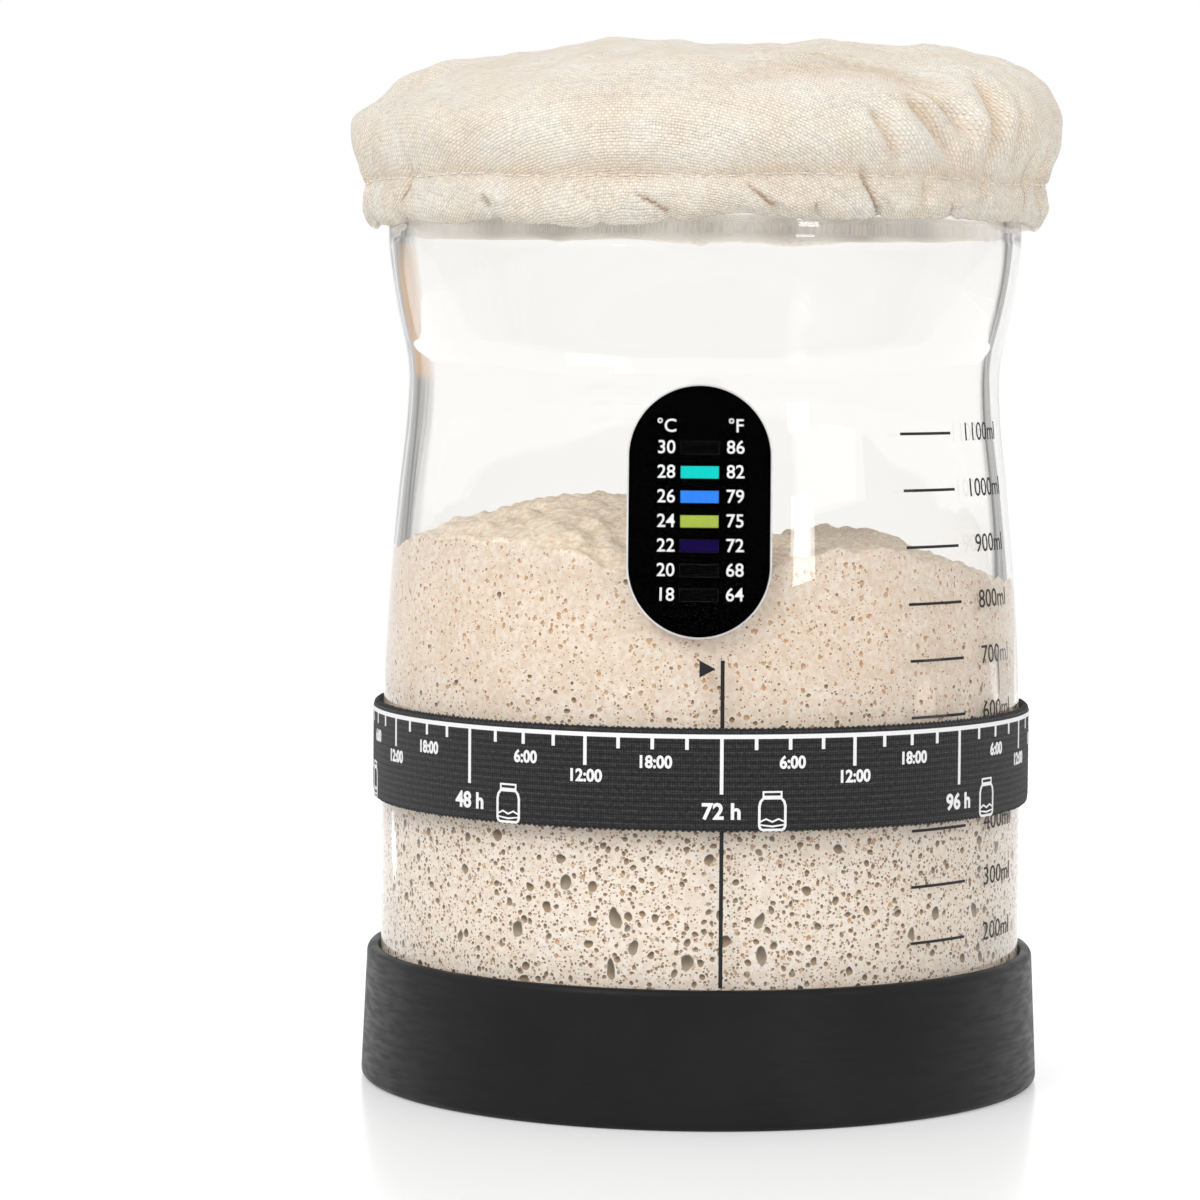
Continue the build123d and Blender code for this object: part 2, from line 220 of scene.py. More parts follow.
for across, along, swing in ((0, 1, 0.5), (1, 0, -0.5)):
    number = calc(tree, "FLOOR", weaveSplit[across])
    roundness = calc(tree, "SINE", times(tree, calc(tree, "FRACT", weaveSplit[across]), math.pi))
    crossing = calc(tree, "ADD", calc(tree, "SUBTRACT", weaveSplit[along], 0.5), number)
    rise = calc(tree, "COSINE", times(tree, crossing, math.pi))
    threadSides.append((scaled(tree, rise, swing, times(tree, roundness, 0.75)), number))
(warpHeight, warpNumber), (weftHeight, weftNumber) = threadSides
warpHeight = calc(tree, "SUBTRACT", warpHeight, given["Sunk"])
warpOver = calc(tree, "GREATER_THAN", warpHeight, weftHeight)
upper = calc(tree, "SMOOTH_MAX", warpHeight, weftHeight, 0.2)
numberPorts = {0: warpOver, 2: calc(tree, "ADD", weftNumber, 0.37), 3: warpNumber}
threadNumber = addNode(tree, "Mix", numberPorts).outputs[0]
threadRandom = addNode(tree, "TexWhiteNoise", {"W": threadNumber}, noise_dimensions="1D").outputs["Value"]
fillPort(made["Height"], ramp(tree, upper, -0.1, 1.25))
fillPort(made["Thread"], threadRandom)
print("shared effects built")


# Mesh helpers
def gridFaces(rows, columns, closeRows=False):
    # quads of a row-major grid whose last column joins the first; closeRows joins the last row to the first
    row, column = np.meshgrid(np.arange(rows if closeRows else rows - 1), np.arange(columns), indexing="ij")
    nextRow, nextColumn = (row + 1) % rows, (column + 1) % columns
    corners = ((row, column), (row, nextColumn), (nextRow, nextColumn), (nextRow, column))
    return np.stack([(r * columns + c).ravel() for r, c in corners], axis=1)


def addMesh(name, points, faces, material, body, slotName, uv=None, weld=True, marks=None):
    # points in millimetres, one row each; faces are loops of point numbers; marks are values at the points
    mesh = bpy.data.meshes.new(name)
    mesh.from_pydata((np.asarray(points) * mm).tolist(), [], faces)
    if uv is not None:
        loopVertex = np.empty(len(mesh.loops), dtype=np.int32)
        mesh.loops.foreach_get("vertex_index", loopVertex)
        flatCut = mesh.uv_layers.new(name="flatCut").data
        flatCut.foreach_set("uv", np.asarray(uv)[loopVertex].astype(np.float32).ravel())
    for key, values in (marks or {}).items():
        mark = mesh.attributes.new(key, "FLOAT", "POINT").data
        mark.foreach_set("value", np.asarray(values, dtype=np.float32).ravel())
    if weld:
        shell = bmesh.new()
        shell.from_mesh(mesh)
        bmesh.ops.remove_doubles(shell, verts=shell.verts, dist=1e-7)
        shell.to_mesh(mesh)
        shell.free()
    mesh.polygons.foreach_set("use_smooth", [True] * len(mesh.polygons))
    mesh.materials.append(material)
    mesh.update()
    piece = bpy.data.objects.new(name, mesh)
    scene.collection.objects.link(piece)
    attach(piece, body)
    return piece


def addGrid(name, grid, *finish, closeRows=False, turnOver=False, **extras):
    # a grid of points that closes round the axis; turnOver makes its faces look the other way
    faces = gridFaces(*grid.shape[:2], closeRows)[:, :: -1 if turnOver else 1]
    return addMesh(name, grid.reshape(-1, 3), faces.tolist(), *finish, **extras)


def roundAngles(count):
    return np.arange(count) * 2 * math.pi / count


def roundPoints(radius, angle, height):
    spots = np.broadcast_arrays(radius * np.cos(angle), radius * np.sin(angle), height)
    return np.stack(spots, axis=-1)


def turned(profile, columns):
    # profile rows of radius and height carried once round the axis
    radius, height = np.asarray(profile, dtype=float).T[..., None]
    return roundPoints(radius, roundAngles(columns), height)


def upright(radius, start, end, count):
    # profile rows of one radius
    return [(radius, height) for height in np.linspace(start, end, count)]


def arcTo(points, end, tangentAngle, count):
    # adds an arc from the last point to end that leaves at tangentAngle, and returns the angle it ends at
    startRadius, startHeight = points[-1]
    chord = (end[0] - startRadius, end[1] - startHeight)
    half = math.atan2(chord[1], chord[0]) - tangentAngle
    half = (half + math.pi) % (2 * math.pi) - math.pi
    if abs(half) < 1e-6:
        points.append(tuple(end))
        return tangentAngle
    bend = math.hypot(*chord) / 2 / math.sin(half)
    for step in range(1, count + 1):
        angle = tangentAngle + 2 * half * step / count
        radius = startRadius + bend * (math.sin(angle) - math.sin(tangentAngle))
        points.append((radius, startHeight - bend * (math.cos(angle) - math.cos(tangentAngle))))
    return tangentAngle + 2 * half


def waves(x, y, z, size, seed, count=20):
    # smooth random field of about -1 to 1: a sum of sine waves in random directions, seeded
    source = np.random.default_rng(seed)
    total = np.zeros(np.broadcast(x, y, z).shape)
    for wave in range(count):
        direction = source.normal(size=3)
        direction *= 2 * math.pi / (size * source.uniform(0.6, 1.6)) / np.linalg.norm(direction)
        phase = source.uniform(0, 2 * math.pi)
        total += np.sin(direction[0] * x + direction[1] * y + direction[2] * z + phase)
    return total / math.sqrt(count)


def eased(value, low, high):
    # smooth step from 0 at low to 1 at high
    share = np.clip((value - low) / (high - low), 0, 1)
    return share * share * (3 - 2 * share)


def bell(offset, width, power=2):
    # 1 at no offset, falling to 0 beyond the width
    return np.exp(-((offset / width) ** power))


# Jar: the side is the CAD's chain of tangent arcs, offset inwards for the inner wall
jarSet = {
    "wall": 2.9,
    "bodyTop": (59.3, 50.0),
    "sideEnds": [(55.3, 118.0), (54.6, 128.5), (55.5, 136.7), (58.4, 155.5)],
    "arcSteps": 14,
    "columns": 288,
    "threads": {"count": 4, "start": 165.6, "climb": 6.2, "width": 0.95, "height": 1.0},
    "waver": {"size": 0.035, "length": 16.0},
}


def sideArcs(standoff):
    # outer side from the straight body to the neck, moved out by standoff
    points = [(jarSet["bodyTop"][0] + standoff, jarSet["bodyTop"][1])]
    angle = math.pi / 2
    for radius, height in jarSet["sideEnds"]:
        angle = arcTo(points, (radius + standoff, height), angle, jarSet["arcSteps"])
    return points


sideLine = np.array([(59.3, 0.0)] + sideArcs(0.0) + [(58.4, 161.0), (57.2, 161.6), (57.2, 178.4)])


def sideRadius(height):
    return np.interp(height, sideLine[:, 1], sideLine[:, 0])


jarProfile = [(0.0, 4.8)]
arcTo(jarProfile, (45.3, 2.6), 0.0, 10)
jarProfile.append((50.3, 2.6))
arcTo(jarProfile, (59.3, 11.6), 0.0, 10)
jarProfile += upright(59.3, 14, 46, 9) + sideArcs(0.0)
jarProfile += [
    (58.4, 157.2), (58.36, 158.2), (58.2, 159.2), (57.92, 160.1), (57.6, 160.9), (57.35, 161.6),
    (57.2, 162.1),
]
jarProfile += upright(57.2, 162.4, 176.8, 28)
arcTo(jarProfile, (56.2, 178.4), math.pi / 2, 5)
jarProfile.append((55.6, 178.4))
arcTo(jarProfile, (54.6, 177.4), math.pi, 5)
jarProfile += [(54.6, 170.0), (54.6, 163.0), (54.7, 161.5)]
jarProfile += sideArcs(-jarSet["wall"])[::-1] + upright(56.4, 46, 23, 6)
arcTo(jarProfile, (48.4, 11.2), -math.pi / 2, 8)
jarProfile += [(30.0, 11.2), (0.0, 11.2)]
jarGrid = turned(jarProfile, jarSet["columns"])
angles = np.arctan2(jarGrid[..., 1], jarGrid[..., 0])
radii = np.hypot(jarGrid[..., 0], jarGrid[..., 1])
heights = jarGrid[..., 2]
onFinish = (radii > 57.0) & (heights > 161.8) & (heights < 177.2)
# threads: starts at even angles, each a low ridge that climbs as it goes round and fades at both ends
thread = jarSet["threads"]
turnShare = (angles / (2 * math.pi) * thread["count"]) % 1.0
threadFade = eased(turnShare, 0.0, 0.14) * (1 - eased(turnShare, 0.84, 0.98))
threadPlace = thread["start"] + thread["climb"] * turnShare
threadRise = thread["height"] * bell(heights - threadPlace, thread["width"]) * threadFade
grown = np.where(onFinish, radii + threadRise, radii)
jarGrid[..., :2] *= (grown / np.maximum(radii, 1e-9))[..., None]
# pressed glass: the wall wavers by a few hundredths
waver = jarSet["waver"]
wallWaver = waver["size"] * waves(jarGrid[..., 0], jarGrid[..., 1], heights * 0.45, waver["length"], 7)
wallWaver *= (radii > 50) * eased(heights, 24, 34) * (1 - eased(heights, 150, 158))
jarGrid[..., :2] *= (1 + wallWaver / np.maximum(radii, 1))[..., None]

glassMaterial, tree, shader = newMaterial(
    "clearGlass", Base_Color=(0.985, 0.978, 0.964, 1), Roughness=0.0, IOR=1.47, Transmission_Weight=1.0
)
passLamps(tree, shader, (0.97, 0.975, 0.97, 1))
jarGlass = addGrid("jarGlass", jarGrid, glassMaterial, "jar", "clear_glass")
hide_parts("glass_jar")
print("jar built")


# Starter: fills the jar up to a craggy dome; its side lies a hair inside the wall so no air shows between
starterSet = {
    "overlap": 0.05,
    "crest": (-17.0, -13.0),
    "crestHeight": 107.7,
    "shelfHeight": 99.6,
    "columns": 400,
    "roughness": 0.42,
    "fall": 10.4,
    "fallReach": 39,
}


def starterTop(x, y):
    # high on the left: height = crest - fall (d / fallReach)^2.4, with d the distance from the crest, which
    # is shortened behind it; a step near the middle leads down to a shelf on the right, which falls to the wall
    crestX, crestY = starterSet["crest"]
    behind = np.where(y > crestY, 0.62, 1.0)
    away = np.hypot(x - crestX, (y - crestY) * behind)
    drop = starterSet["fall"] * (np.minimum(away, 45) / starterSet["fallReach"]) ** 2.4
    mound = starterSet["crestHeight"] - drop
    wander = 2.2 * waves(x, y, 0 * x, 14.0, 14)
    shelf = starterSet["shelfHeight"] - 0.33 * np.maximum(x - 34, 0)
    step = eased(x + wander, 8.0, 20.0)
    swell = 0.45 * waves(x, y, 0 * x, 26.0, 11)
    crumbs = starterSet["roughness"] * waves(x, y, 0 * x, 4.5, 12, 40)
    grit = 0.14 * waves(x, y, 0 * x, 1.6, 13, 60)
    return mound * (1 - step) + shelf * step + swell + crumbs + grit


innerGap = jarSet["wall"] - starterSet["overlap"]
starterAngle = roundAngles(starterSet["columns"])
rimRadius = sideRadius(np.full_like(starterAngle, 97.0)) - innerGap
for step in range(4):
    rimHeight = starterTop(rimRadius * np.cos(starterAngle), rimRadius * np.sin(starterAngle))
    rimRadius = sideRadius(rimHeight) - innerGap
floorLine = [(0.0, 11.15)]
arcTo(floorLine, (48.4, 11.15), 0.0, 1)
arcTo(floorLine, (56.45, 19.2), 0.0, 8)
floorGrid = turned(floorLine, starterSet["columns"])
climb = np.linspace(0, 1, 70)[1:, None]
sideHeight = 19.2 + (rimHeight[None, :] - 19.2) * climb
sideGrid = roundPoints(sideRadius(sideHeight) - innerGap, starterAngle, sideHeight)
inward = np.linspace(1, 0, 110)[1:, None]
topX = rimRadius[None, :] * np.cos(starterAngle) * inward
topY = rimRadius[None, :] * np.sin(starterAngle) * inward
topHeight = starterTop(topX, topY)
# the surface clings up the wall a little
topHeight = topHeight + 0.4 * np.exp(-((1 - inward) * 56 / 1.0)) * (inward < 1)
topGrid = np.stack([topX, topY, topHeight], axis=2)
starterGrid = np.concatenate([floorGrid, sideGrid, topGrid])

doughMaterial, tree, shader = newMaterial("risenDough", Roughness=0.55, Specular_IOR_Level=0.3)
place = objectCoords(tree)
placeHeight = parts(tree, place)[2]
lowShare = ramp(tree, placeHeight, 0.086, 0.046)
footShare = ramp(tree, placeHeight, 0.052, 0.030)
patchy = mottle(tree, place, 0.007, 4.0)
upperColour = mixColour(tree, patchy, (246, 236, 224), (237, 223, 207))
lowerColour = mixColour(tree, patchy, (254, 247, 238), (249, 238, 224))
doughColour = mixColour(tree, lowShare, upperColour, lowerColour)
grainy = mottle(tree, place, 0.0010, 3.0)
grainShare = times(tree, grainy, scaled(tree, lowShare, -0.15, 0.5))
doughColour = mixColour(tree, grainShare, doughColour, (212, 182, 148))
heightTotal = None
bubbleLayers = [
    # pitch, stretch, raggedness, size, shares of cells above, added in the lower half and added at the foot,
    # colours of the painted shade at each bubble's top and of the painted light at its bottom
    (0.0014, 0.9, 2.4, 0.29, 0.88, -0.3, 0.0, (188, 140, 94), (214, 174, 132)),
    (0.0008, 1.5, 2.0, 0.28, 0.80, -0.2, 0.0, (198, 154, 110), (220, 186, 148)),
    (0.0017, 1.0, 0.7, 0.15, 0.45, 0.0, 0.0, (136, 94, 60), (176, 136, 98)),
    (0.00065, 1.0, 0.7, 0.31, 0.10, 0.80, 0.0, (128, 90, 56), (184, 144, 104)),
    (0.0011, 1.0, 0.7, 0.30, 0.00, 0.62, 0.0, (100, 72, 44), (180, 146, 108)),
    (0.0015, 1.0, 0.7, 0.31, 0.02, 0.84, 0.0, (88, 62, 38), (172, 140, 102)),
    (0.0028, 0.9, 0.7, 0.27, 0.00, 0.44, 0.16, (80, 60, 38), (164, 138, 104)),
    (0.0042, 0.7, 1.0, 0.24, 0.00, 0.00, 0.60, (98, 84, 64), (162, 146, 122)),
]
for pitch, stretch, ragged, size, topShare, lowAdd, footAdd, shadedTopColour, litBottomColour in bubbleLayers:
    longPlace = mapped(tree, place, (1.0, 1.0, stretch))
    bentPorts = {"Vector": longPlace, "Scale": ragged / pitch, "Detail": 2.0}
    bent = addNode(tree, "TexNoise", bentPorts).outputs["Color"]
    bentPlace = vectorCalc(tree, "ADD", longPlace, vectorCalc(tree, "SCALE", bent, pitch * 0.7))
    layerShare = scaled(tree, footShare, footAdd, topShare)
    layerShare = scaled(tree, lowShare, lowAdd, layerShare)
    spots = useGroup(tree, fineSpeckle, vector=bentPlace, pitch=pitch, size=size, share=layerShare)
    doughColour = mixColour(tree, times(tree, spots["Rim"], 0.35), doughColour, (253, 247, 239))
    # painted shade and light: each bubble is coloured as a lit hollow, darker at the top and lighter at the
    # bottom
    lift = ramp(tree, spots["Lift"], 0.7, -0.6)
    paintedHollowShade = mixColour(tree, lift, shadedTopColour, litBottomColour)
    doughColour = mixColour(tree, spots["Mask"], doughColour, paintedHollowShade)
    hollow = times(tree, spots["Depth"], pitch / 0.0046)
    heightTotal = hollow if heightTotal is None else calc(tree, "ADD", heightTotal, hollow)
facing = addNode(tree, "TexCoord").outputs["Normal"]
faceUp = ramp(tree, parts(tree, facing)[2], 0.35, 0.75)
crust = mixColour(tree, grainy, (246, 232, 212), (220, 194, 162))
doughColour = mixColour(tree, times(tree, faceUp, 0.75), doughColour, crust)
feed(shader, Base_Color=doughColour)
addBump(tree, shader, calc(tree, "SUBTRACT", times(tree, grainy, 0.08), heightTotal), 0.0006, 0.6)
starterBody = addGrid("starterBody", starterGrid, doughMaterial, "jar", "dough")
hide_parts("starter")
print("starter built")


# Base: drafted cup with a rounded rim and foot, recessed underneath with a grip ring
# leanHeight is the height over which the side comes in by 1 mm
baseSet = {"foot": (62.85, 1.4), "leanHeight": 22.4, "columns": 256}
baseProfile = [(0.0, 0.8), (40.6, 0.8), (40.9, 0.7), (41.0, 0.0), (43.9, 0.0), (44.1, 0.7), (44.4, 0.8)]
baseProfile += [(53.6, 0.8), (53.9, 0.7), (54.1, 0.1), (54.5, 0.0), (61.5, 0.0)]
footRadius, footHeight = baseSet["foot"]
arcTo(baseProfile, baseSet["foot"], 0.0, 6)
for height in np.linspace(2.4, 23.2, 14):
    baseProfile.append((footRadius - (height - footHeight) / baseSet["leanHeight"], height))
arcTo(baseProfile, (61.3, 24.45), math.pi / 2 + 0.045, 6)
baseProfile += [(60.2, 24.5)]
arcTo(baseProfile, (59.68, 24.0), math.pi, 4)
baseProfile += upright(59.65, 22.0, 8.6, 6)
arcTo(baseProfile, (53.65, 2.6), -math.pi / 2, 6)
baseProfile += [(30.0, 2.6), (0.0, 2.6)]
siliconeMaterial, tree, shader = newMaterial("blackSilicone", Specular_IOR_Level=0.17)
place = objectCoords(tree)
mould = mottle(tree, place, 0.02, 5.0)
streaks = mottle(tree, mapped(tree, place, (0.14, 0.14, 1.0)), 0.0009, 4.0)
feed(
    shader,
    Base_Color=mixColour(tree, mould, (18, 18, 19), (25, 25, 26)),
    Roughness=scaled(tree, streaks, 0.14, 0.36),
)
addBump(tree, shader, streaks, 0.00004, 0.6)
baseCup = addGrid(
    "baseCup", turned(baseProfile, baseSet["columns"]), siliconeMaterial, "base", "black_silicone"
)
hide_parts("silicone_base")
print("base built")


# Band: ribbed woven loop with looped edges, lapped and sewn at the back
bandSet = {
    "inner": 59.65,
    "thickness": 1.2,
    "edge": 0.45,
    "bottom": 52.0,
    "top": 70.2,
    "columns": 1440,
    "ribs": 8,
    "loops": 720,
    "lapLength": 15.0,
    "lapRise": 0.95,
    "rowPitch": 1.15,
    "printSink": 0.03,
}
bandAngle = roundAngles(bandSet["columns"])
bandInner, bandEdge = bandSet["inner"], bandSet["edge"]
bandOuter = bandInner + bandSet["thickness"]
acrossOut = np.linspace(0, 1, 46)[:, None]
ribWave = 0.5 + 0.5 * np.cos(acrossOut * 2 * math.pi * bandSet["ribs"] * 2)
lapDistance = np.abs((bandAngle - math.pi / 2 + math.pi) % (2 * math.pi) - math.pi) * bandOuter
lapShare = 1 - eased(lapDistance, bandSet["lapLength"] / 2 - 0.35, bandSet["lapLength"] / 2 + 0.15)
edgeRound = np.sqrt(np.clip(1 - (np.abs(acrossOut - 0.5) * 2) ** 16, 0.0, 1))
outRadius = bandInner + bandEdge + (bandSet["thickness"] - bandEdge) * edgeRound - 0.05 * ribWave
outRadius = outRadius + bandSet["lapRise"] * lapShare * eased(edgeRound, 0.2, 0.9)
picot = 0.15 * np.sin(bandAngle * bandSet["loops"] / 2) + 0.05 * np.sin(bandAngle * 97)
edgeOut = np.clip(np.abs(acrossOut - 0.5) * 2 - 0.9, 0, 0.1) * 10 * np.sign(acrossOut - 0.5)
bandBottom, bandTop = bandSet["bottom"], bandSet["top"]
bandHeight = bandBottom + 0.1 + (bandTop - bandBottom - 0.2) * acrossOut + picot * edgeOut
innerHeight = bandBottom + 0.25 + (bandTop - bandBottom - 0.5) * np.linspace(1, 0, 10)[:, None]
outerFace = roundPoints(outRadius, bandAngle, bandHeight)
bandGrid = np.concatenate([outerFace, roundPoints(bandInner + 0.02, bandAngle, innerHeight)])
elasticMaterial, tree, shader = newMaterial(
    "blackElastic", Roughness=0.85, Specular_IOR_Level=0.25, Sheen_Weight=0.12, Sheen_Roughness=0.5
)
placeParts = parts(tree, objectCoords(tree))
roundAlong = times(tree, calc(tree, "ARCTAN2", placeParts[1], placeParts[0]), bandOuter * mm)
flatPlace = addNode(tree, "CombineXYZ", {0: roundAlong, 1: placeParts[2]}).outputs[0]
knit = useGroup(tree, threadWeave, vector=flatPlace, pitch=0.00045, wander=0.5)
fuzz = mottle(tree, flatPlace, 0.0007, 3.0)
# knitted rows run along the band
rowWave = calc(tree, "SINE", times(tree, placeParts[2], 2 * math.pi / (bandSet["rowPitch"] * mm)))
# painted shade: the band is darker between the knitted rows and where the knit lies low; its tone also wavers
# at random
rowPaintedShade = scaled(tree, rowWave, 0.35, 0.65)
bandPaintedShade = times(tree, calc(tree, "POWER", knit["Height"], 2.0), scaled(tree, fuzz, 0.7, 0.3))
bandPaintedShade = times(tree, bandPaintedShade, rowPaintedShade)
feed(shader, Base_Color=mixColour(tree, bandPaintedShade, (19, 19, 20), (82, 82, 83)))
addBump(tree, shader, scaled(tree, rowWave, 0.4, knit["Height"]), 0.00016, 0.8)
dayBand = addGrid("dayBand", bandGrid, elasticMaterial, "band", "black_elastic", closeRows=True)
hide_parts("feeding_band")
print("band built")


# Prints: flat shapes in millimetres, laid on a round surface and given a little thickness
def textShape(words, size, squeeze=1.0, bold=0.0, align="CENTER"):
    # outline of the words as flat points and faces, centred on its own height
    curve = bpy.data.curves.new("words", "FONT")
    curve.body = words
    curve.size = size
    curve.align_x = align
    curve.align_y = "CENTER"
    curve.offset = bold
    curve.resolution_u = 3
    holder = bpy.data.objects.new("words", curve)
    flat = bpy.data.meshes.new_from_object(holder)
    points = np.empty(len(flat.vertices) * 3)
    flat.vertices.foreach_get("co", points)
    points = points.reshape(-1, 3)[:, :2] * (squeeze, 1.0)
    faces = [list(face.vertices) for face in flat.polygons]
    bpy.data.objects.remove(holder)
    bpy.data.curves.remove(curve)
    bpy.data.meshes.remove(flat)
    return points, faces


def barShape(width, height):
    # rectangle cut into short lengths so that it follows the round surface
    steps = max(2, int(width / 1.2) + 1)
    xs = np.linspace(-width / 2, width / 2, steps)
    points = np.array([(x, y) for y in (-height / 2, height / 2) for x in xs])
    faces = [[i, i + 1, i + 1 + steps, i + steps] for i in range(steps - 1)]
    return points, faces


def outlineShape(corners, width):
    # closed line of a given width along a loop of corners
    loop = np.array(corners, dtype=float)
    ahead, behind = np.roll(loop, -1, axis=0) - loop, loop - np.roll(loop, 1, axis=0)
    ahead, behind = [step / np.linalg.norm(step, axis=1)[:, None] for step in (ahead, behind)]
    tangent = (ahead + behind) / np.linalg.norm(ahead + behind, axis=1)[:, None]
    side = np.stack([-tangent[:, 1], tangent[:, 0]], axis=1) * width / 2
    count = len(loop)
    points = np.concatenate([loop - side, loop + side])
    faces = [[i, (i + 1) % count, (i + 1) % count + count, i + count] for i in range(count)]
    return points, faces


def layPrint(name, shapes, surface, rise, thickness, material, body, slotName):
    # shapes: (points, faces, degrees right of the front, height); surface gives the radius at a height
    allPoints, allFaces, start = [], [], 0
    for points, faces, turn, height in shapes:
        angle = math.radians(turn - 90) + points[:, 0] / surface(height)
        level = height + points[:, 1]
        for lift in (0.0, thickness):
            allPoints.append(roundPoints(surface(level) + rise + lift, angle, level))
        count = len(points)
        edges = {}
        for face in faces:
            allFaces.append([start + count + i for i in face])
            allFaces.append([start + i for i in reversed(face)])
            edges |= dict.fromkeys(zip(face, face[1:] + face[:1]))
        for a, b in edges:
            if (b, a) not in edges:
                allFaces.append([start + a, start + b, start + b + count, start + a + count])
        start += 2 * count
    piece = addMesh(name, np.concatenate(allPoints), allFaces, material, body, slotName, weld=False)
    piece.data.polygons.foreach_set("use_smooth", [False] * len(piece.data.polygons))
    return piece


def printInk(name, colour, worn):
    # matt ink whose tone wavers a little, rough where it has worn
    material, tree, shader = newMaterial(name, Specular_IOR_Level=0.3)
    rub = mottle(tree, objectCoords(tree), 0.0006, 4.0)
    fresh = linearColour(*colour)
    faded = tuple(c * (1 - worn) + 0.25 * worn for c in fresh[:3]) + (1.0,)
    feed(
        shader,
        Base_Color=mixColour(tree, rub, fresh, faded),
        Roughness=scaled(tree, rub, 0.2, 0.45),
    )
    return material


whiteInk = printInk("whiteInk", (250, 250, 250), 0.05)
blackInk = printInk("blackInk", (18, 18, 18), 0.03)

markSet = {
    "lineLeft": 39.0,
    "lineRight": 53.0,
    "lineWidth": 0.5,
    "textTurn": 65.6,
    "textSize": 4.7,
    "zeroHeight": 11.06,
    "step": 9.97,
    "indexTurn": 3.67,
    "indexHeight": 53.2,
    "pointer": [(-1.6, 1.5), (-1.6, -1.5), (1.2, 0.0)],
}
glassMarks = []
middleTurn = (markSet["lineLeft"] + markSet["lineRight"]) / 2
for volume in range(200, 1200, 100):
    markHeight = markSet["zeroHeight"] + markSet["step"] * volume / 100
    lineLength = math.radians(markSet["lineRight"] - markSet["lineLeft"]) * float(sideRadius(markHeight))
    glassMarks.append((*barShape(lineLength, markSet["lineWidth"]), middleTurn, markHeight))
    glassMarks.append((*textShape(f"{volume}ml", markSet["textSize"], 1.16), markSet["textTurn"], markHeight))
indexPoints = np.array([(x, y) for y in np.linspace(-28.5, 28.5, 20) for x in (-0.35, 0.35)])
indexFaces = [[2 * i, 2 * i + 1, 2 * i + 3, 2 * i + 2] for i in range(19)]
glassMarks.append((indexPoints, indexFaces, markSet["indexTurn"], markSet["indexHeight"]))
glassMarks.append((np.array(markSet["pointer"]), [[0, 1, 2]], 1.3, 80.2))
layPrint("glassMarks", glassMarks, sideRadius, 0.01, 0.04, blackInk, "jar", "strip_black")


def bandSurface(height):
    # outer face of the band; the print sits on its ribs
    return bandOuter - bandSet["printSink"] + 0 * np.asarray(height)


def jarSymbol():
    # rounded jar outline with a lid and a wavy level
    body = [
        (-1.7, -3.3), (1.7, -3.3), (2.1, -3.1), (2.3, -2.6), (2.3, 0.8), (2.1, 1.6), (1.6, 2.2),
        (-1.6, 2.2), (-2.1, 1.6), (-2.3, 0.8), (-2.3, -2.6), (-2.1, -3.1),
    ]
    lid = [(-1.6, 2.5), (1.6, 2.5), (1.6, 3.3), (-1.6, 3.3)]
    level = [
        (-2.2, -1.9), (-1.1, -1.4), (0.0, -1.9), (1.1, -1.4), (2.2, -1.9), (2.2, -2.4), (0.0, -2.7),
        (-2.2, -2.4),
    ]
    return [outlineShape(body, 0.45), outlineShape(lid, 0.45), outlineShape(level, 0.32)]


dayMarkSet = {
    "frontTurn": 3.5, "frontDay": 3, "dayTurn": 45.4, "lineDrop": 1.15, "lineWidth": 0.75,
    "tickWidth": 0.62, "lastTurn": 169.0,
    "days": 7, "ticks": {0: 10.0, 12: 5.4}, "shortTick": 2.3, "clockSize": 3.0, "countSize": 3.9,
    "countDrop": 13.1, "symbolTurn": 8.4, "symbolDrop": 12.9, "lineOverrun": 6,
}
bandMarks = []
lineHeight = bandSet["top"] - dayMarkSet["lineDrop"] - dayMarkSet["lineWidth"] / 2
dayTurn = dayMarkSet["dayTurn"]
firstTurn = dayMarkSet["frontTurn"] - dayMarkSet["frontDay"] * dayTurn
# the print runs into the lap at the back
lineStart, lineEnd = firstTurn - dayMarkSet["lineOverrun"], dayMarkSet["lastTurn"] + dayMarkSet["lineOverrun"]
lineSpan = math.radians(lineEnd - lineStart) * bandOuter
bandMarks.append((*barShape(lineSpan, dayMarkSet["lineWidth"]), (lineStart + lineEnd) / 2, lineHeight))
for day in range(dayMarkSet["days"]):
    for hour in range(0, 24, 3):
        turn = firstTurn + dayTurn * (day + hour / 24)
        if turn > dayMarkSet["lastTurn"]:
            continue
        length = dayMarkSet["ticks"].get(hour, dayMarkSet["shortTick"])
        bandMarks.append((*barShape(dayMarkSet["tickWidth"], length), turn, lineHeight - length / 2))
        if hour in (6, 12, 18):
            squeeze, aside, drop = (0.95, 0.0, 7.3) if hour == 12 else (0.92, 0.4, 4.6)
            clock = textShape(f"{hour}:00", dayMarkSet["clockSize"], squeeze, 0.1)
            bandMarks.append((*clock, turn + aside, lineHeight - drop))
    turn = firstTurn + dayTurn * day
    hours = textShape(f"{24 * day} h", dayMarkSet["countSize"], 1.0, 0.12)
    bandMarks.append((*hours, turn, lineHeight - dayMarkSet["countDrop"]))
    for symbol in jarSymbol():
        bandMarks.append((*symbol, turn + dayMarkSet["symbolTurn"], lineHeight - dayMarkSet["symbolDrop"]))
layPrint("bandMarks", bandMarks, bandSurface, 0.0, 0.09, whiteInk, "band", "white_elastic")


def stripSurface(height):
    return sideRadius(height) + stripSet["standoff"]


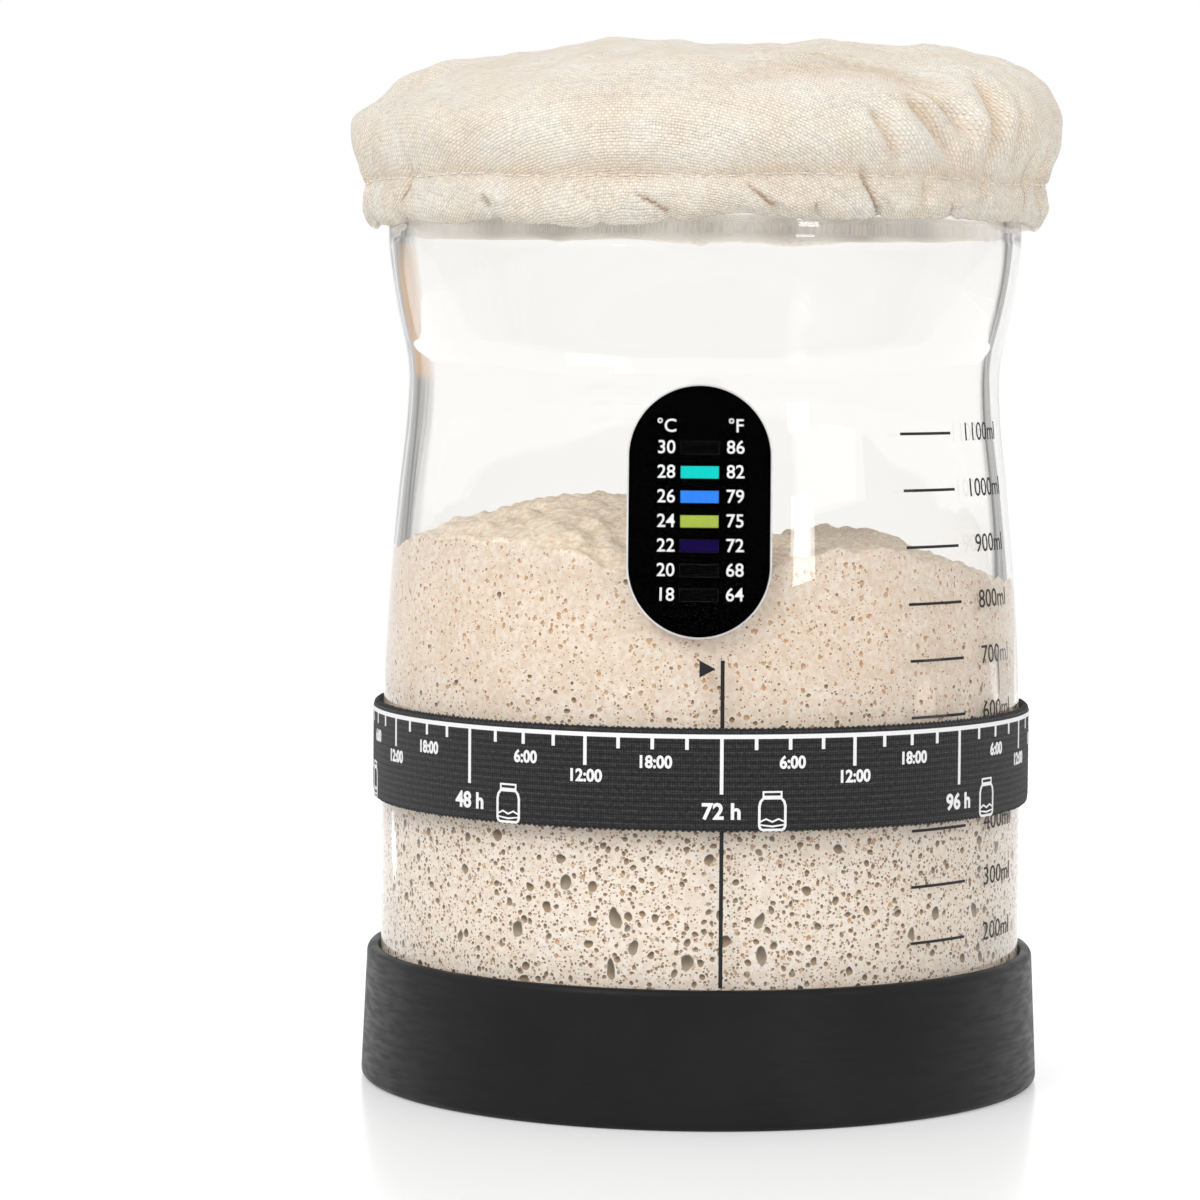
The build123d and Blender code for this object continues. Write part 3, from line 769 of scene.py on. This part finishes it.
stripSet = {"left": -6.3, "right": 5.7, "topRow": 118.4, "pitch": 4.24, "textSize": 3.25, "bold": 0.035}
stripSet["standoff"] = 0.53
stripMarks = []
degrees = ((30, 86), (28, 82), (26, 79), (24, 75), (22, 72), (20, 68), (18, 64))
for row, (celsius, fahrenheit) in enumerate(degrees):
    rowHeight = stripSet["topRow"] - stripSet["pitch"] * row
    for words, offset in ((str(celsius), stripSet["left"]), (str(fahrenheit), stripSet["right"])):
        turn = math.degrees(offset / float(stripSurface(rowHeight)))
        stripMarks.append((*textShape(words, stripSet["textSize"], 1.0, stripSet["bold"]), turn, rowHeight))
for words, offset in (("°C", stripSet["left"]), ("°F", stripSet["right"])):
    turn = math.degrees(offset / float(stripSurface(121.9)))
    stripMarks.append((*textShape(words, stripSet["textSize"], 1.0, stripSet["bold"]), turn, 122.1))
layPrint("stripMarks", stripMarks, stripSurface, 0.0, 0.06, whiteInk, "jar", "strip_white")
# a solid black layer lies between the adhesive and the mask, behind the windows
groundSet = {
    "middle": 107.4, "height": 43.0, "width": 24.2, "turn": -0.5, "rise": 0.27, "rows": 60, "columns": 14,
}
ground = SimpleNamespace(**groundSet)
groundLevel = ground.middle + ground.height / 2 * np.sin(np.linspace(-1, 1, ground.rows) * math.pi / 2)
capReach = np.clip(np.abs(groundLevel - ground.middle) - (ground.height - ground.width) / 2, 0, None)
halfWidth = np.sqrt(np.clip((ground.width / 2) ** 2 - capReach**2, 0.0, None)) + 0.02
groundAcross = ground.turn + halfWidth[:, None] * np.linspace(-1, 1, ground.columns)
groundFlat = np.stack(np.broadcast_arrays(groundAcross, groundLevel[:, None] - ground.middle), axis=2)
groundFaces = [
    [row * ground.columns + column + i for i in (0, 1, ground.columns + 1, ground.columns)]
    for row in range(ground.rows - 1)
    for column in range(ground.columns - 1)
]
groundShape = (groundFlat.reshape(-1, 2), groundFaces, 0.0, ground.middle)
layPrint("maskGround", [groundShape], sideRadius, ground.rise, 0.03, blackInk, "jar", "strip_black")
print("prints laid")


# Strip: the CAD's layers with their own finishes
def stripFinish(name, colour, roughness, colourShift=0.12, size=0.0015, gloss=0.25):
    # even film whose tone and gloss waver slightly
    material, tree, shader = newMaterial(name, Specular_IOR_Level=gloss)
    tone = mottle(tree, objectCoords(tree), size, 3.0)
    even = linearColour(*colour)
    darker = tuple(c * (1 - colourShift) for c in even[:3]) + (1.0,)
    feed(
        shader,
        Base_Color=mixColour(tree, tone, even, darker),
        Roughness=scaled(tree, tone, 0.08, roughness),
    )
    return material


def dress(nodeName, material):
    # gives a CAD node its finish in all its slots
    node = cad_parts[nodeName]
    node.data.materials.clear()
    node.data.materials.append(material)


dress("strip_backing", stripFinish("adhesiveFilm", (246, 246, 244), 0.35))
dress("strip_mask", stripFinish("maskFilm", (1, 1, 1), 0.35, gloss=0.0))
crystalColours = {
    "crystal_30": (7, 7, 7),
    "crystal_28": (24, 217, 207),
    "crystal_26": (56, 139, 253),
    "crystal_24": (175, 196, 82),
    "crystal_22": (24, 12, 66),
    "crystal_20": (7, 7, 7),
    "crystal_18": (7, 7, 7),
}
for nodeName, colour in crystalColours.items():
    dress(nodeName, stripFinish("cell" + nodeName[-2:], colour, 0.3, 0.06, 0.0006, 0.0))
filmMaterial, tree, shader = newMaterial("clearFilm", IOR=1.06, Transmission_Weight=1.0)
feed(shader, Roughness=scaled(tree, mottle(tree, objectCoords(tree), 0.004, 2.0), 0.05, 0.03))
passLamps(tree, shader)
dress("strip_face", filmMaterial)
print("strip dressed")


# Lid: pressed tinplate with a stepped panel, a curled edge and inward lugs; it shows when the cover is off
lidSet = {"columns": 288, "lugs": 4, "lugDepth": 0.35, "lugHeight": 164.9}
lidProfile = [
    (0.0, 178.6), (20.0, 178.62), (36.0, 178.64), (47.5, 178.62), (49.5, 178.62), (50.2, 178.9),
    (51.0, 179.35), (52.0, 179.4),
]
lidProfile += [(56.0, 179.4), (57.5, 179.4)]
arcTo(lidProfile, (58.8, 178.1), 0.0, 6)
lidProfile += upright(58.8, 176.5, 166.5, 14)
lidProfile += [
    (58.8, 165.0), (58.82, 164.6), (59.0, 164.3), (59.35, 164.2), (59.7, 164.35), (59.88, 164.75),
    (59.8, 165.2), (59.5, 165.5), (59.32, 165.8),
]
lidProfile += upright(59.3, 167.0, 177.2, 14)
arcTo(lidProfile, (57.5, 179.9), math.pi / 2, 6)
lidProfile += [
    (55.5, 179.9), (52.5, 179.88), (51.0, 179.85), (50.2, 179.4), (49.5, 179.12), (47.5, 179.1),
    (36.0, 179.12), (20.0, 179.1), (0.0, 179.1),
]
lidGrid = turned(lidProfile, lidSet["columns"])
lidAngle = np.arctan2(lidGrid[..., 1], lidGrid[..., 0])
lidRadius = np.hypot(lidGrid[..., 0], lidGrid[..., 1])
nearEdge = bell(lidGrid[..., 2] - lidSet["lugHeight"], 0.9) * (lidRadius < 59.1) * (lidRadius > 58.0)
lugShare = np.clip(np.cos(lidAngle * lidSet["lugs"]) * 4 - 3, 0, 1)
lidGrid[..., :2] *= (1 - lidSet["lugDepth"] * nearEdge * lugShare / np.maximum(lidRadius, 1))[..., None]
tinMaterial, tree, shader = newMaterial("plainTinplate", Metallic=1.0)
place = objectCoords(tree)
rolled = mottle(tree, mapped(tree, place, (0.05, 1.0, 1.0)), 0.0008, 5.0)
handled = mottle(tree, place, 0.03, 4.0)
feed(
    shader,
    Base_Color=mixColour(tree, handled, (188, 189, 191), (168, 169, 172)),
    Roughness=scaled(tree, rolled, 0.12, scaled(tree, handled, 0.08, 0.22)),
)
addBump(tree, shader, rolled, 0.00002, 0.5)
lidShell = addGrid("lidShell", lidGrid, tinMaterial, "lid", "tinplate")
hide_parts("lid_shell")
sealMaterial, tree, shader = newMaterial("softSeal", Roughness=0.5)
sealTone = mottle(tree, objectCoords(tree), 0.004, 3.0)
feed(shader, Base_Color=mixColour(tree, sealTone, (240, 238, 230), (228, 225, 214)))
dress("lid_liner", sealMaterial)
print("lid built")


# Cover: one round cloth drawn in over the lid, its edge turned up inside round the elastic
coverSet = {
    "columns": 400,
    "outerRows": 104,
    "hemRows": 14,
    "thickness": 0.8,
    "flatRadius": 100.0,
    "gathers": 34,
    "gatherDepth": 0.75,
    "weavePitch": 0.0006,
    "edgeHeight": 158.8,
    "stitchHeight": 165.3,
    "hemTop": 165.4,
    "hemRadius": 60.35,
    "paintedHemGlowStrength": 0.62,
    "backTucks": 34,
    "seamRadius": 64,
}
# radius and height from the middle of the crown to the turned-up edge, on four sides
coverSides = {
    "right": [
        (0, 190.8), (20, 191.1), (36, 191.2), (46, 190.9), (52, 189.8), (57, 188.4), (61, 186.2),
        (64.2, 182.6), (65.8, 177.5), (65.4, 171.8), (63.6, 167.6), (62.6, 165.2), (63.2, 162.4),
        (63.0, 160.0), (61.6, 158.8),
    ],
    "back": [
        (0, 190.8), (18, 191.0), (30, 190.8), (40, 189.8), (48, 188.0), (54, 185.6), (59, 182.4),
        (63.4, 178.4), (65.4, 174.6), (65.0, 170.6), (63.4, 167.4), (62.6, 165.2), (63.2, 162.4),
        (63.0, 160.0), (61.6, 158.8),
    ],
    "left": [
        (0, 190.8), (18, 191.0), (30, 190.9), (38, 190.3), (45, 189.4), (51, 187.8), (56.5, 185.0),
        (61.6, 181.4), (65.3, 177.0), (65.5, 171.6), (63.7, 167.4), (62.7, 165.2), (63.2, 162.4),
        (63.0, 160.0), (61.6, 158.8),
    ],
    "front": [
        (0, 190.8), (15, 190.6), (26, 190.0), (36, 188.8), (44.5, 187.0), (51.5, 184.6), (57.5, 181.8),
        (62.2, 178.0), (64.8, 173.4), (64.6, 169.6), (63.1, 166.8), (62.3, 165.3), (63.2, 163.4),
        (63.6, 161.2), (62.9, 159.6), (61.6, 158.8),
    ],
}


def smoothLine(points, shares):
    # rounds a run of points: it is sampled evenly, averaged with its neighbours, then read at the shares of
    # its length
    line = np.array(points, dtype=float)
    along = np.concatenate([[0], np.cumsum(np.hypot(*np.diff(line, axis=0).T))])
    even = np.linspace(0, along[-1], 160)
    dense = np.stack([np.interp(even, along, line[:, 0]), np.interp(even, along, line[:, 1])], axis=1)
    for turn in range(8):
        dense[1:-1] = dense[1:-1] * 0.5 + (dense[2:] + dense[:-2]) * 0.25
    return np.stack([np.interp(shares * along[-1], even, dense[:, side]) for side in (0, 1)], axis=1)


# rows lie closest between the swell and the edge, columns closest at the front, where the folds are finest
rowShares = np.interp(np.linspace(0, 1, coverSet["outerRows"]), [0, 0.24, 1], [0, 0.5, 1])
finerTurn = np.linspace(-180, 180, 3601)
finerCount = np.cumsum(1 + 1.3 * bell(finerTurn, 80, 4))
columnShare = np.arange(coverSet["columns"]) / coverSet["columns"]
columnTurn = np.interp(columnShare, finerCount / finerCount[-1], finerTurn)
coverAngle = np.radians(columnTurn - 90)
towards = {"right": np.cos(coverAngle), "back": np.sin(coverAngle)}
towards |= {"left": -towards["right"], "front": -towards["back"]}
coverRadius = coverHeight = 0
for side, points in coverSides.items():
    line = smoothLine(points, rowShares)
    weight = np.clip(towards[side], 0, 1) ** 2
    coverRadius = coverRadius + line[:, 0:1] * weight
    coverHeight = coverHeight + line[:, 1:2] * weight
# the turned-up edge goes inside, round the elastic, up to the stitches
hemShare = np.linspace(0, 1, coverSet["hemRows"] + 1)[1:, None]
evenRow = np.ones_like(coverAngle)
hemRadius = coverSet["hemRadius"] + 1.25 * (1 - eased(hemShare, 0.0, 0.25)) * evenRow
hemHeight = coverSet["edgeHeight"] - 0.35 * np.sin(np.clip(hemShare / 0.25, 0, 1) * math.pi)
hemHeight = (hemHeight + (coverSet["hemTop"] - coverSet["edgeHeight"]) * eased(hemShare, 0.1, 1.0)) * evenRow
clothRadius = np.concatenate([coverRadius, hemRadius])
clothHeight = np.concatenate([coverHeight, hemHeight])
clothAngle = np.repeat(coverAngle[None, :], len(clothRadius), axis=0)
clothTurn = np.repeat(columnTurn[None, :], len(clothRadius), axis=0)
outerRow = np.concatenate([np.ones(coverSet["outerRows"]), np.zeros(coverSet["hemRows"])])[:, None]

# the edge hangs a little lower on the left of the front and at the back
edgeTurns = [-180, -130, -60, -49, -35, -22, -16, -9, -2, 6, 14, 24, 45, 75, 130, 180]
edgeDrops = [2.6, 1.6, 1.1, 1.2, 1.4, 1.8, 2.2, 2.0, 1.0, 0.5, 0.5, 0.0, 0.0, 0.4, 1.8, 2.6]
edgeDrop = np.interp(columnTurn, edgeTurns, edgeDrops)
edgeDrop = edgeDrop + 0.35 * np.sin(6.3 * coverAngle + 1) * (np.abs(columnTurn) > 90)
clothHeight = clothHeight - edgeDrop * (1 - eased(clothHeight, 158.6, 165.2))

# gathers: uneven ridges that are deepest at the stitches, fade up into the crown and lean as they rise;
# the front is stretched nearly smooth
gatherSource = np.random.default_rng(5)
gatherPhase = clothAngle * coverSet["gathers"] + 1.6 * np.sin(3 * clothAngle + 0.8)
gatherPhase = gatherPhase + 1.1 * np.sin(7 * clothAngle + 2.1)
gatherPhase = gatherPhase + 0.07 * (clothHeight - 165) * np.sin(2 * clothAngle + 0.5)
gatherSize = 0.45 + 0.55 * np.abs(np.sin(2.5 * clothAngle + 1.0) * np.sin(4.3 * clothAngle + 0.3))
gatherSize = gatherSize * (1 - 0.7 * bell(clothTurn, 48, 4))
belowStitch = eased(clothHeight, 158.5, 161.0)
gatherFade = np.where(clothHeight < 165.2, 0.75 * belowStitch, 1 - eased(clothHeight, 165.2, 178.0))
gather = -(1 - np.abs(np.sin(gatherPhase / 2))) ** 2.2
clothRadius = clothRadius + coverSet["gatherDepth"] * 1.5 * gather * gatherSize * gatherFade * outerRow
# the stitches pull the cloth in along one line, more in some places than in others
stitchLine = coverSet["stitchHeight"] + 0.35 * np.sin(clothAngle * 5 + 1.0) + 0.2 * np.sin(clothAngle * 13)
stitchDraw = 0.45 + 0.2 * np.sin(clothAngle * 9 + 2.0)
clothRadius = clothRadius - bell(clothHeight - stitchLine, 0.5) * stitchDraw * outerRow
# soft folds and sharp tucks: start turn and height, end turn and height, depth and width in millimetres
creases = [
    (-5.6, 158.0, -11.5, 162.2, 1.1, 0.6),
    (11.2, 159.2, 6.0, 164.6, 1.2, 0.6),
    (29.3, 158.8, 24.8, 167.4, 1.4, 0.6),
    (18.4, 158.6, 17.6, 161.0, 0.7, 0.6),
    (44.6, 158.8, 43.0, 161.4, 0.8, 0.6),
    (-17.0, 160.2, -22.0, 163.8, 0.5, 1.1),
    (-36.5, 158.8, -38.5, 162.6, 0.9, 0.6),
    (-2.0, 164.6, -26.0, 166.6, 0.5, 1.4),
    (14.0, 163.0, 3.0, 166.4, 0.5, 1.6),
    (26.8, 176.2, 32.4, 167.2, 1.5, 1.2),
    (34.0, 179.4, 43.0, 168.0, 1.9, 1.4),
    (30.5, 177.2, 38.5, 168.0, -0.9, 1.6),
    (22.0, 182.5, 40.0, 176.5, -1.3, 2.2),
    (37.0, 182.0, 47.5, 171.0, 1.6, 1.4),
    (46.0, 186.0, 47.0, 168.0, -1.6, 2.2),
    (52.0, 184.0, 51.5, 166.0, 1.7, 1.7),
    (59.0, 182.0, 58.0, 166.0, 1.0, 1.6),
    (38.0, 165.0, 36.5, 160.0, 0.8, 1.2),
    (51.0, 165.0, 52.0, 160.0, 0.9, 1.2),
    (3.0, 170.0, 24.0, 171.0, -0.4, 2.6),
    (-20.0, 178.5, 6.0, 180.0, 0.5, 3.0),
    (6.0, 183.0, 34.0, 185.0, 1.3, 2.4),
    (28.0, 188.0, 44.0, 183.0, 1.7, 2.0),
    (20.0, 188.6, 36.0, 189.4, -1.0, 2.0),
    (-48.0, 180.0, -38.0, 170.0, 0.6, 2.2),
    (64.0, 170.0, 66.0, 160.5, 1.0, 1.0),
    (-60.0, 160.5, -55.0, 169.0, 1.0, 1.0),
    (-74.0, 160.5, -79.0, 171.0, 1.3, 1.2),
]
for count in range(coverSet["backTucks"]):
    turn = gatherSource.uniform(70, 280)
    foot = gatherSource.uniform(159.8, 162.0)
    reach = gatherSource.uniform(3.5, 13.0)
    lean = gatherSource.uniform(-6, 6)
    depth, width = gatherSource.uniform(0.6, 1.5), gatherSource.uniform(1.0, 1.8)
    creases.append((turn, foot, turn + lean, foot + reach, depth, width))
# painted shade in the tucks: a dark line is kept at the points along each narrow tuck
paintedTuckShade = np.zeros_like(clothRadius)
# painted shade above the stitch line, where the crown bulges over it, and along the wide folds
paintedFoldShade = 0.55 * bell(clothHeight - stitchLine - 0.7, 1.3) * outerRow
edgeLift = np.zeros_like(clothRadius)
for startTurn, startHeight, endTurn, endHeight, depth, width in creases:
    acrossGap = np.radians((clothTurn - startTurn + 180) % 360 - 180) * coverSet["seamRadius"]
    upGap = clothHeight - startHeight
    span = np.array([math.radians(endTurn - startTurn) * coverSet["seamRadius"], endHeight - startHeight])
    length = np.hypot(*span)
    along = (acrossGap * span[0] + upGap * span[1]) / length**2
    off = (acrossGap * span[1] - upGap * span[0]) / length
    # a tuck bends a little on its way
    off = off + 0.25 * width * np.sin(along * 3.0 + depth * 9)
    taper = eased(along, -0.12, 0.15) * (1 - eased(along, 0.6, 1.15)) * outerRow
    valley = bell(off, width) - 0.4 * bell(np.abs(off) - 2.0 * width - 0.4, 0.9 * width + 0.4)
    clothRadius = clothRadius - depth * valley * taper * (clothRadius > 40)
    if width >= 1.15 and depth > 0:
        paintedFoldShade = np.maximum(paintedFoldShade, bell(off / width, 0.8) * taper * min(depth / 1.8, 1.0))
    if width < 1.15:
        paintedTuckShade = np.maximum(paintedTuckShade, bell(off, 0.5) * taper * min(depth, 1.0))
        if startHeight < 160.6:
            edgeLift = edgeLift + 0.6 * bell(acrossGap, 1.1) * (1 - eased(clothHeight, 159.2, 161.5))
flatX, flatY = clothRadius * np.cos(clothAngle), clothRadius * np.sin(clothAngle)
sag = 0.55 * waves(flatX, flatY, clothHeight, 26.0, 21) + 0.22 * waves(flatX, flatY, clothHeight, 9.0, 22, 30)
crownShare = eased(clothHeight, 180, 187) * outerRow
# the crown's shoulder is lower on the left, and a little on the right
shoulder = 2.3 * bell(clothTurn + 66, 40) + 1.0 * bell(clothTurn - 58, 34)
clothHeight = clothHeight - shoulder * eased(clothRadius, 18, 44) * eased(clothHeight, 176, 183) * outerRow
clothHeight = clothHeight + sag * crownShare * 1.1
swellShare = eased(clothHeight, 166, 172) * (1 - eased(clothHeight, 184, 190)) * outerRow
clothRadius = clothRadius + sag * swellShare * (clothRadius > 30)
hemPuff = 0.28 * waves(flatX, flatY, 2 * clothHeight, 7.0, 24, 30) * eased(clothHeight, 159.2, 160.5)
clothRadius = clothRadius + hemPuff * (1 - eased(clothHeight, 163.5, 165.0)) * outerRow
hemWaver = 0.42 * waves(flatX, flatY, 0 * flatX, 15.0, 23) + 0.12 * waves(flatX, flatY, 0 * flatX, 4.0, 25)
clothHeight = clothHeight + hemWaver * (1 - eased(clothHeight, 159.5, 163.0)) + edgeLift
clothGrid = roundPoints(clothRadius, clothAngle, clothHeight)
clothGrid[0] = clothGrid[0].mean(axis=0)
# flat-cut coordinates: distance along the cloth from its middle, at the same turn
stepLength = np.linalg.norm(np.diff(clothGrid, axis=0), axis=2)
alongCloth = np.concatenate([np.zeros((1, coverSet["columns"])), np.cumsum(stepLength, axis=0)])
flatReach = alongCloth.mean(axis=1)[:, None]
clothUv = np.stack([flatReach * np.cos(clothAngle) * mm, flatReach * np.sin(clothAngle) * mm], axis=2)

# painted glow on the turned-up edge: strongest at the back, fading up the edge
paintedHemGlow = np.zeros_like(clothRadius)
fadeEnd = 0.75 + 0.2 * np.sin(5 * coverAngle) + 0.15 * np.sin(23 * coverAngle)
paintedGlowFade = 0.36 + 0.64 * (1 - eased(hemShare, 0.0, fadeEnd))
paintedHemGlow[coverSet["outerRows"] :] = paintedGlowFade * np.clip(np.sin(coverAngle) * 2 + 0.6, 0, 1)


def marked(tree, name):
    # a value kept at the cloth's points
    return addNode(tree, "Attribute", attribute_name=name).outputs["Fac"]


canvasMaterial, tree, shader = newMaterial(
    "creamCanvas", Roughness=0.9, Specular_IOR_Level=0.15, Sheen_Weight=0.15, Sheen_Roughness=0.6
)
clothPlace = addNode(tree, "UVMap", uv_map="flatCut").outputs[0]
turnedPlace = mapped(tree, clothPlace, (1, 1, 1), (0, 0, 0.2))
weave = useGroup(tree, threadWeave, vector=turnedPlace, pitch=coverSet["weavePitch"], wander=1.7, sunk=0.75)
slubs = mottle(tree, turnedPlace, 0.0013, 3.0)
tint = mottle(tree, turnedPlace, 0.012, 4.0)
threadTone = scaled(tree, weave["Thread"], 0.3, 0.7)
slubTone = scaled(tree, slubs, 0.6, 0.4)
threadHeight = times(tree, times(tree, weave["Height"], threadTone), slubTone)
clothColour = mixColour(tree, tint, (255, 250, 240), (254, 245, 231))
# painted shade: the cloth is darker and browner where the threads lie low, between them
paintedPitShade = times(tree, ramp(tree, threadHeight, 0.4, 0.05), scaled(tree, tint, 0.3, 0.35))
clothColour = mixColour(tree, paintedPitShade, clothColour, (230, 205, 174))
specks = useGroup(tree, fineSpeckle, vector=turnedPlace, pitch=0.009, size=0.035, share=0.25)
clothColour = mixColour(tree, specks["Mask"], clothColour, (130, 100, 78))
# painted shade: the cloth turns brown along the tucks
paintedTuckShare = ramp(tree, marked(tree, "paintedTuckShade"), 0.1, 1.0, 0.0, 0.6)
clothColour = mixColour(tree, paintedTuckShare, clothColour, (176, 132, 92))
# painted shade in the folds and above the stitches
clothColour = mixColour(tree, times(tree, marked(tree, "paintedFoldShade"), 0.5), clothColour, (228, 200, 166))
# painted glow: a weak emission on the turned-up edge, strongest at the back, stands in for light coming through
# the thin cloth from behind
glow = mixColour(tree, marked(tree, "paintedHemGlow"), (0, 0, 0, 1), (250, 244, 236))
feed(shader, Base_Color=clothColour, Emission_Color=glow, Emission_Strength=coverSet["paintedHemGlowStrength"])
addBump(tree, shader, threadHeight, 0.0004, 1.0)
coverCloth = addGrid(
    "coverCloth",
    clothGrid,
    canvasMaterial,
    "cover",
    "cream_canvas",
    turnOver=True,
    uv=clothUv.reshape(-1, 2),
    marks={"paintedTuckShade": paintedTuckShade, "paintedFoldShade": paintedFoldShade, "paintedHemGlow": paintedHemGlow},
)
solid = coverCloth.modifiers.new("clothThickness", "SOLIDIFY")
solid.thickness = coverSet["thickness"] * mm
solid.offset = -1.0
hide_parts("cover_cloth")

# Stitches: short runs of white thread that lie in the drawn-in line
stitchSet = {"length": 2.3, "pitch": 3.1, "radius": 0.17, "ringRadius": 62, "rings": 6, "sides": 6}
outerGrid = clothGrid[: coverSet["outerRows"]]
lowRows = np.arange(coverSet["outerRows"] // 2, coverSet["outerRows"])
nearRow = lowRows[np.abs(outerGrid[lowRows, :, 2] - stitchLine[: len(lowRows)]).argmin(axis=0)]
seamLine = outerGrid[nearRow, np.arange(coverSet["columns"])]
seamReach = np.hypot(seamLine[:, 0], seamLine[:, 1])
stitchPoints, stitchFaces = [], []
stitchCount = int(2 * math.pi * stitchSet["ringRadius"] / stitchSet["pitch"])
rings, sides = stitchSet["rings"], stitchSet["sides"]
ringShare = np.linspace(-1, 1, rings)
for stitch in range(stitchCount):
    middle = -180 + 360 * stitch / stitchCount
    turns = middle + math.degrees(stitchSet["length"] / 2 / stitchSet["ringRadius"]) * ringShare
    reach = np.interp(turns, columnTurn, seamReach, period=360) + 0.12
    level = np.interp(turns, columnTurn, stitchLine[0], period=360)
    girths = stitchSet["radius"] * np.sqrt(np.clip(1.02 - ringShare**4, 0, 1))
    start = len(stitchPoints)
    for turn, spot, height, girth in zip(np.radians(turns - 90), reach, level, girths):
        for side in range(sides):
            bend = side * 2 * math.pi / sides
            radius, rise = spot + girth * math.cos(bend), girth * math.sin(bend)
            stitchPoints.append((radius * math.cos(turn), radius * math.sin(turn), height + rise))
    for ring in range(rings - 1):
        for side in range(sides):
            a, b = start + ring * sides + side, start + ring * sides + (side + 1) % sides
            stitchFaces.append([a, a + sides, b + sides, b])
    firstRing = [start + side for side in range(sides)]
    stitchFaces += [firstRing, [corner + (rings - 1) * sides for corner in reversed(firstRing)]]
threadMaterial, tree, shader = newMaterial("sewingThread", Roughness=0.7)
threadTwist = mottle(tree, objectCoords(tree), 0.0004, 2.0)
feed(shader, Base_Color=mixColour(tree, threadTwist, (252, 247, 240), (228, 216, 200)))
addMesh("hemStitches", stitchPoints, stitchFaces, threadMaterial, "cover", "cream_canvas", weld=False)
whiteElastic, tree, shader = newMaterial("whiteElastic", Roughness=0.8)
elasticWeave = useGroup(tree, threadWeave, vector=objectCoords(tree), pitch=0.0006, wander=0.3)["Height"]
# painted shade: darker where the weave lies low
feed(shader, Base_Color=mixColour(tree, elasticWeave, (205, 202, 196), (240, 238, 233)))
addBump(tree, shader, elasticWeave, 0.0002)
dress("cover_elastic", whiteElastic)
print("cover gathered")


# Floor, world and lamps: a pale glossy floor under plain soft light
def seenPath(tree):
    # the light path's values, and 1 for rays of the camera, of reflections and through glass
    lightPath = addNode(tree, "LightPath").outputs
    bounced = calc(tree, "MAXIMUM", lightPath["Is Glossy Ray"], lightPath["Is Transmission Ray"])
    return lightPath, calc(tree, "MAXIMUM", lightPath["Is Camera Ray"], bounced)


floorSet = {"half": 0.95, "glow": 0.32}
floorMaterial, tree, shader = newMaterial("paleFloor", Base_Color=(0.86, 0.86, 0.86, 1), Roughness=0.22)
feed(shader, Emission_Color=(1, 1, 1, 1), Emission_Strength=times(tree, seenPath(tree)[1], floorSet["glow"]))
floorMesh = bpy.data.meshes.new("studioFloor")
half = floorSet["half"]
floorCorners = [(-half, -half, 0), (half, -half, 0), (half, half, 0), (-half, half, 0)]
floorMesh.from_pydata(floorCorners, [], [[0, 1, 2, 3]])
floorMesh.materials.append(floorMaterial)
studioFloor = bpy.data.objects.new("studioFloor", floorMesh)
scene.collection.objects.link(studioFloor)

world = bpy.data.worlds.new("studioWorld")
scene.world = world
world.use_nodes = True
tree = world.node_tree
worldSet = {"ambient": 0.78, "seen": 1.0, "cardFaces": 3.0, "warmth": 0.75}
# start, full, fade and end of each card, in radians round the axis
worldSet["cards"] = (1.83, 1.88, 2.3, 2.4), (1.17, 1.13, 0.92, 0.86)
lightPath, seenRays = seenPath(tree)
around = addNode(tree, "TexCoord").outputs["Generated"]
direction = parts(tree, around)
# dark streaky cards, with a warm patch in the left one, stand behind the jar at both sides. Only rays that
# have crossed fewer than three faces of glass see them, as streaks along the edges: a ray turned back at the
# wall's inner face has crossed two, and one that goes straight through the jar has crossed four.
sideways = calc(tree, "ARCTAN2", direction[1], direction[0])
worldStreaks = mottle(tree, mapped(tree, around, (1.0, 1.0, 0.1)), 0.03, 6.0)
leftCard, rightCard = [
    times(tree, ramp(tree, sideways, start, full), ramp(tree, sideways, end, fade))
    for start, full, fade, end in worldSet["cards"]
]
turnedRays = calc(tree, "LESS_THAN", lightPath["Transmission Depth"], worldSet["cardFaces"])
turnedRays = times(tree, turnedRays, lightPath["Is Transmission Ray"])
cards = times(tree, calc(tree, "MAXIMUM", leftCard, rightCard), turnedRays)
warmPatch = times(tree, ramp(tree, direction[2], -0.24, -0.18), ramp(tree, direction[2], 0.0, -0.06))
warmPatch = times(tree, warmPatch, ramp(tree, sideways, 1.98, 2.04))
cardColour = mixColour(tree, worldStreaks, (24, 26, 28), (190, 189, 187))
cardColour = mixColour(tree, times(tree, warmPatch, worldSet["warmth"]), cardColour, (224, 168, 96))
strength = addNode(tree, "Mix", {0: seenRays, 2: worldSet["ambient"], 3: worldSet["seen"]}).outputs[0]
feed(tree.nodes["Background"], Strength=strength, Color=mixColour(tree, cards, (1, 1, 1, 1), cardColour))

lamps = [
    # name, place, aimed at, width, height, power in watts
    ("keyLamp", (-0.9, -1.2, 1.2), (0, 0, 0.1), 0.9, 0.9, 10.0),
    ("fillLamp", (1.1, -1.0, 0.7), (0, 0, 0.1), 0.8, 0.8, 2.3),
    ("stripLamp", (0.588, -0.809, 0.222), (0, 0, 0.1), 0.125, 0.08, 0.34),
]
for name, spot, aim, width, height, power in lamps:
    lampData = bpy.data.lights.new(name, "AREA")
    lampData.shape = "RECTANGLE"
    lampData.size, lampData.size_y = width, height
    lampData.energy = power
    lamp = bpy.data.objects.new(name, lampData)
    scene.collection.objects.link(lamp)
    lamp.location = spot
    lamp.rotation_euler = (Vector(aim) - Vector(spot)).to_track_quat("-Z", "Y").to_euler()
print("stage lit")

print("done")
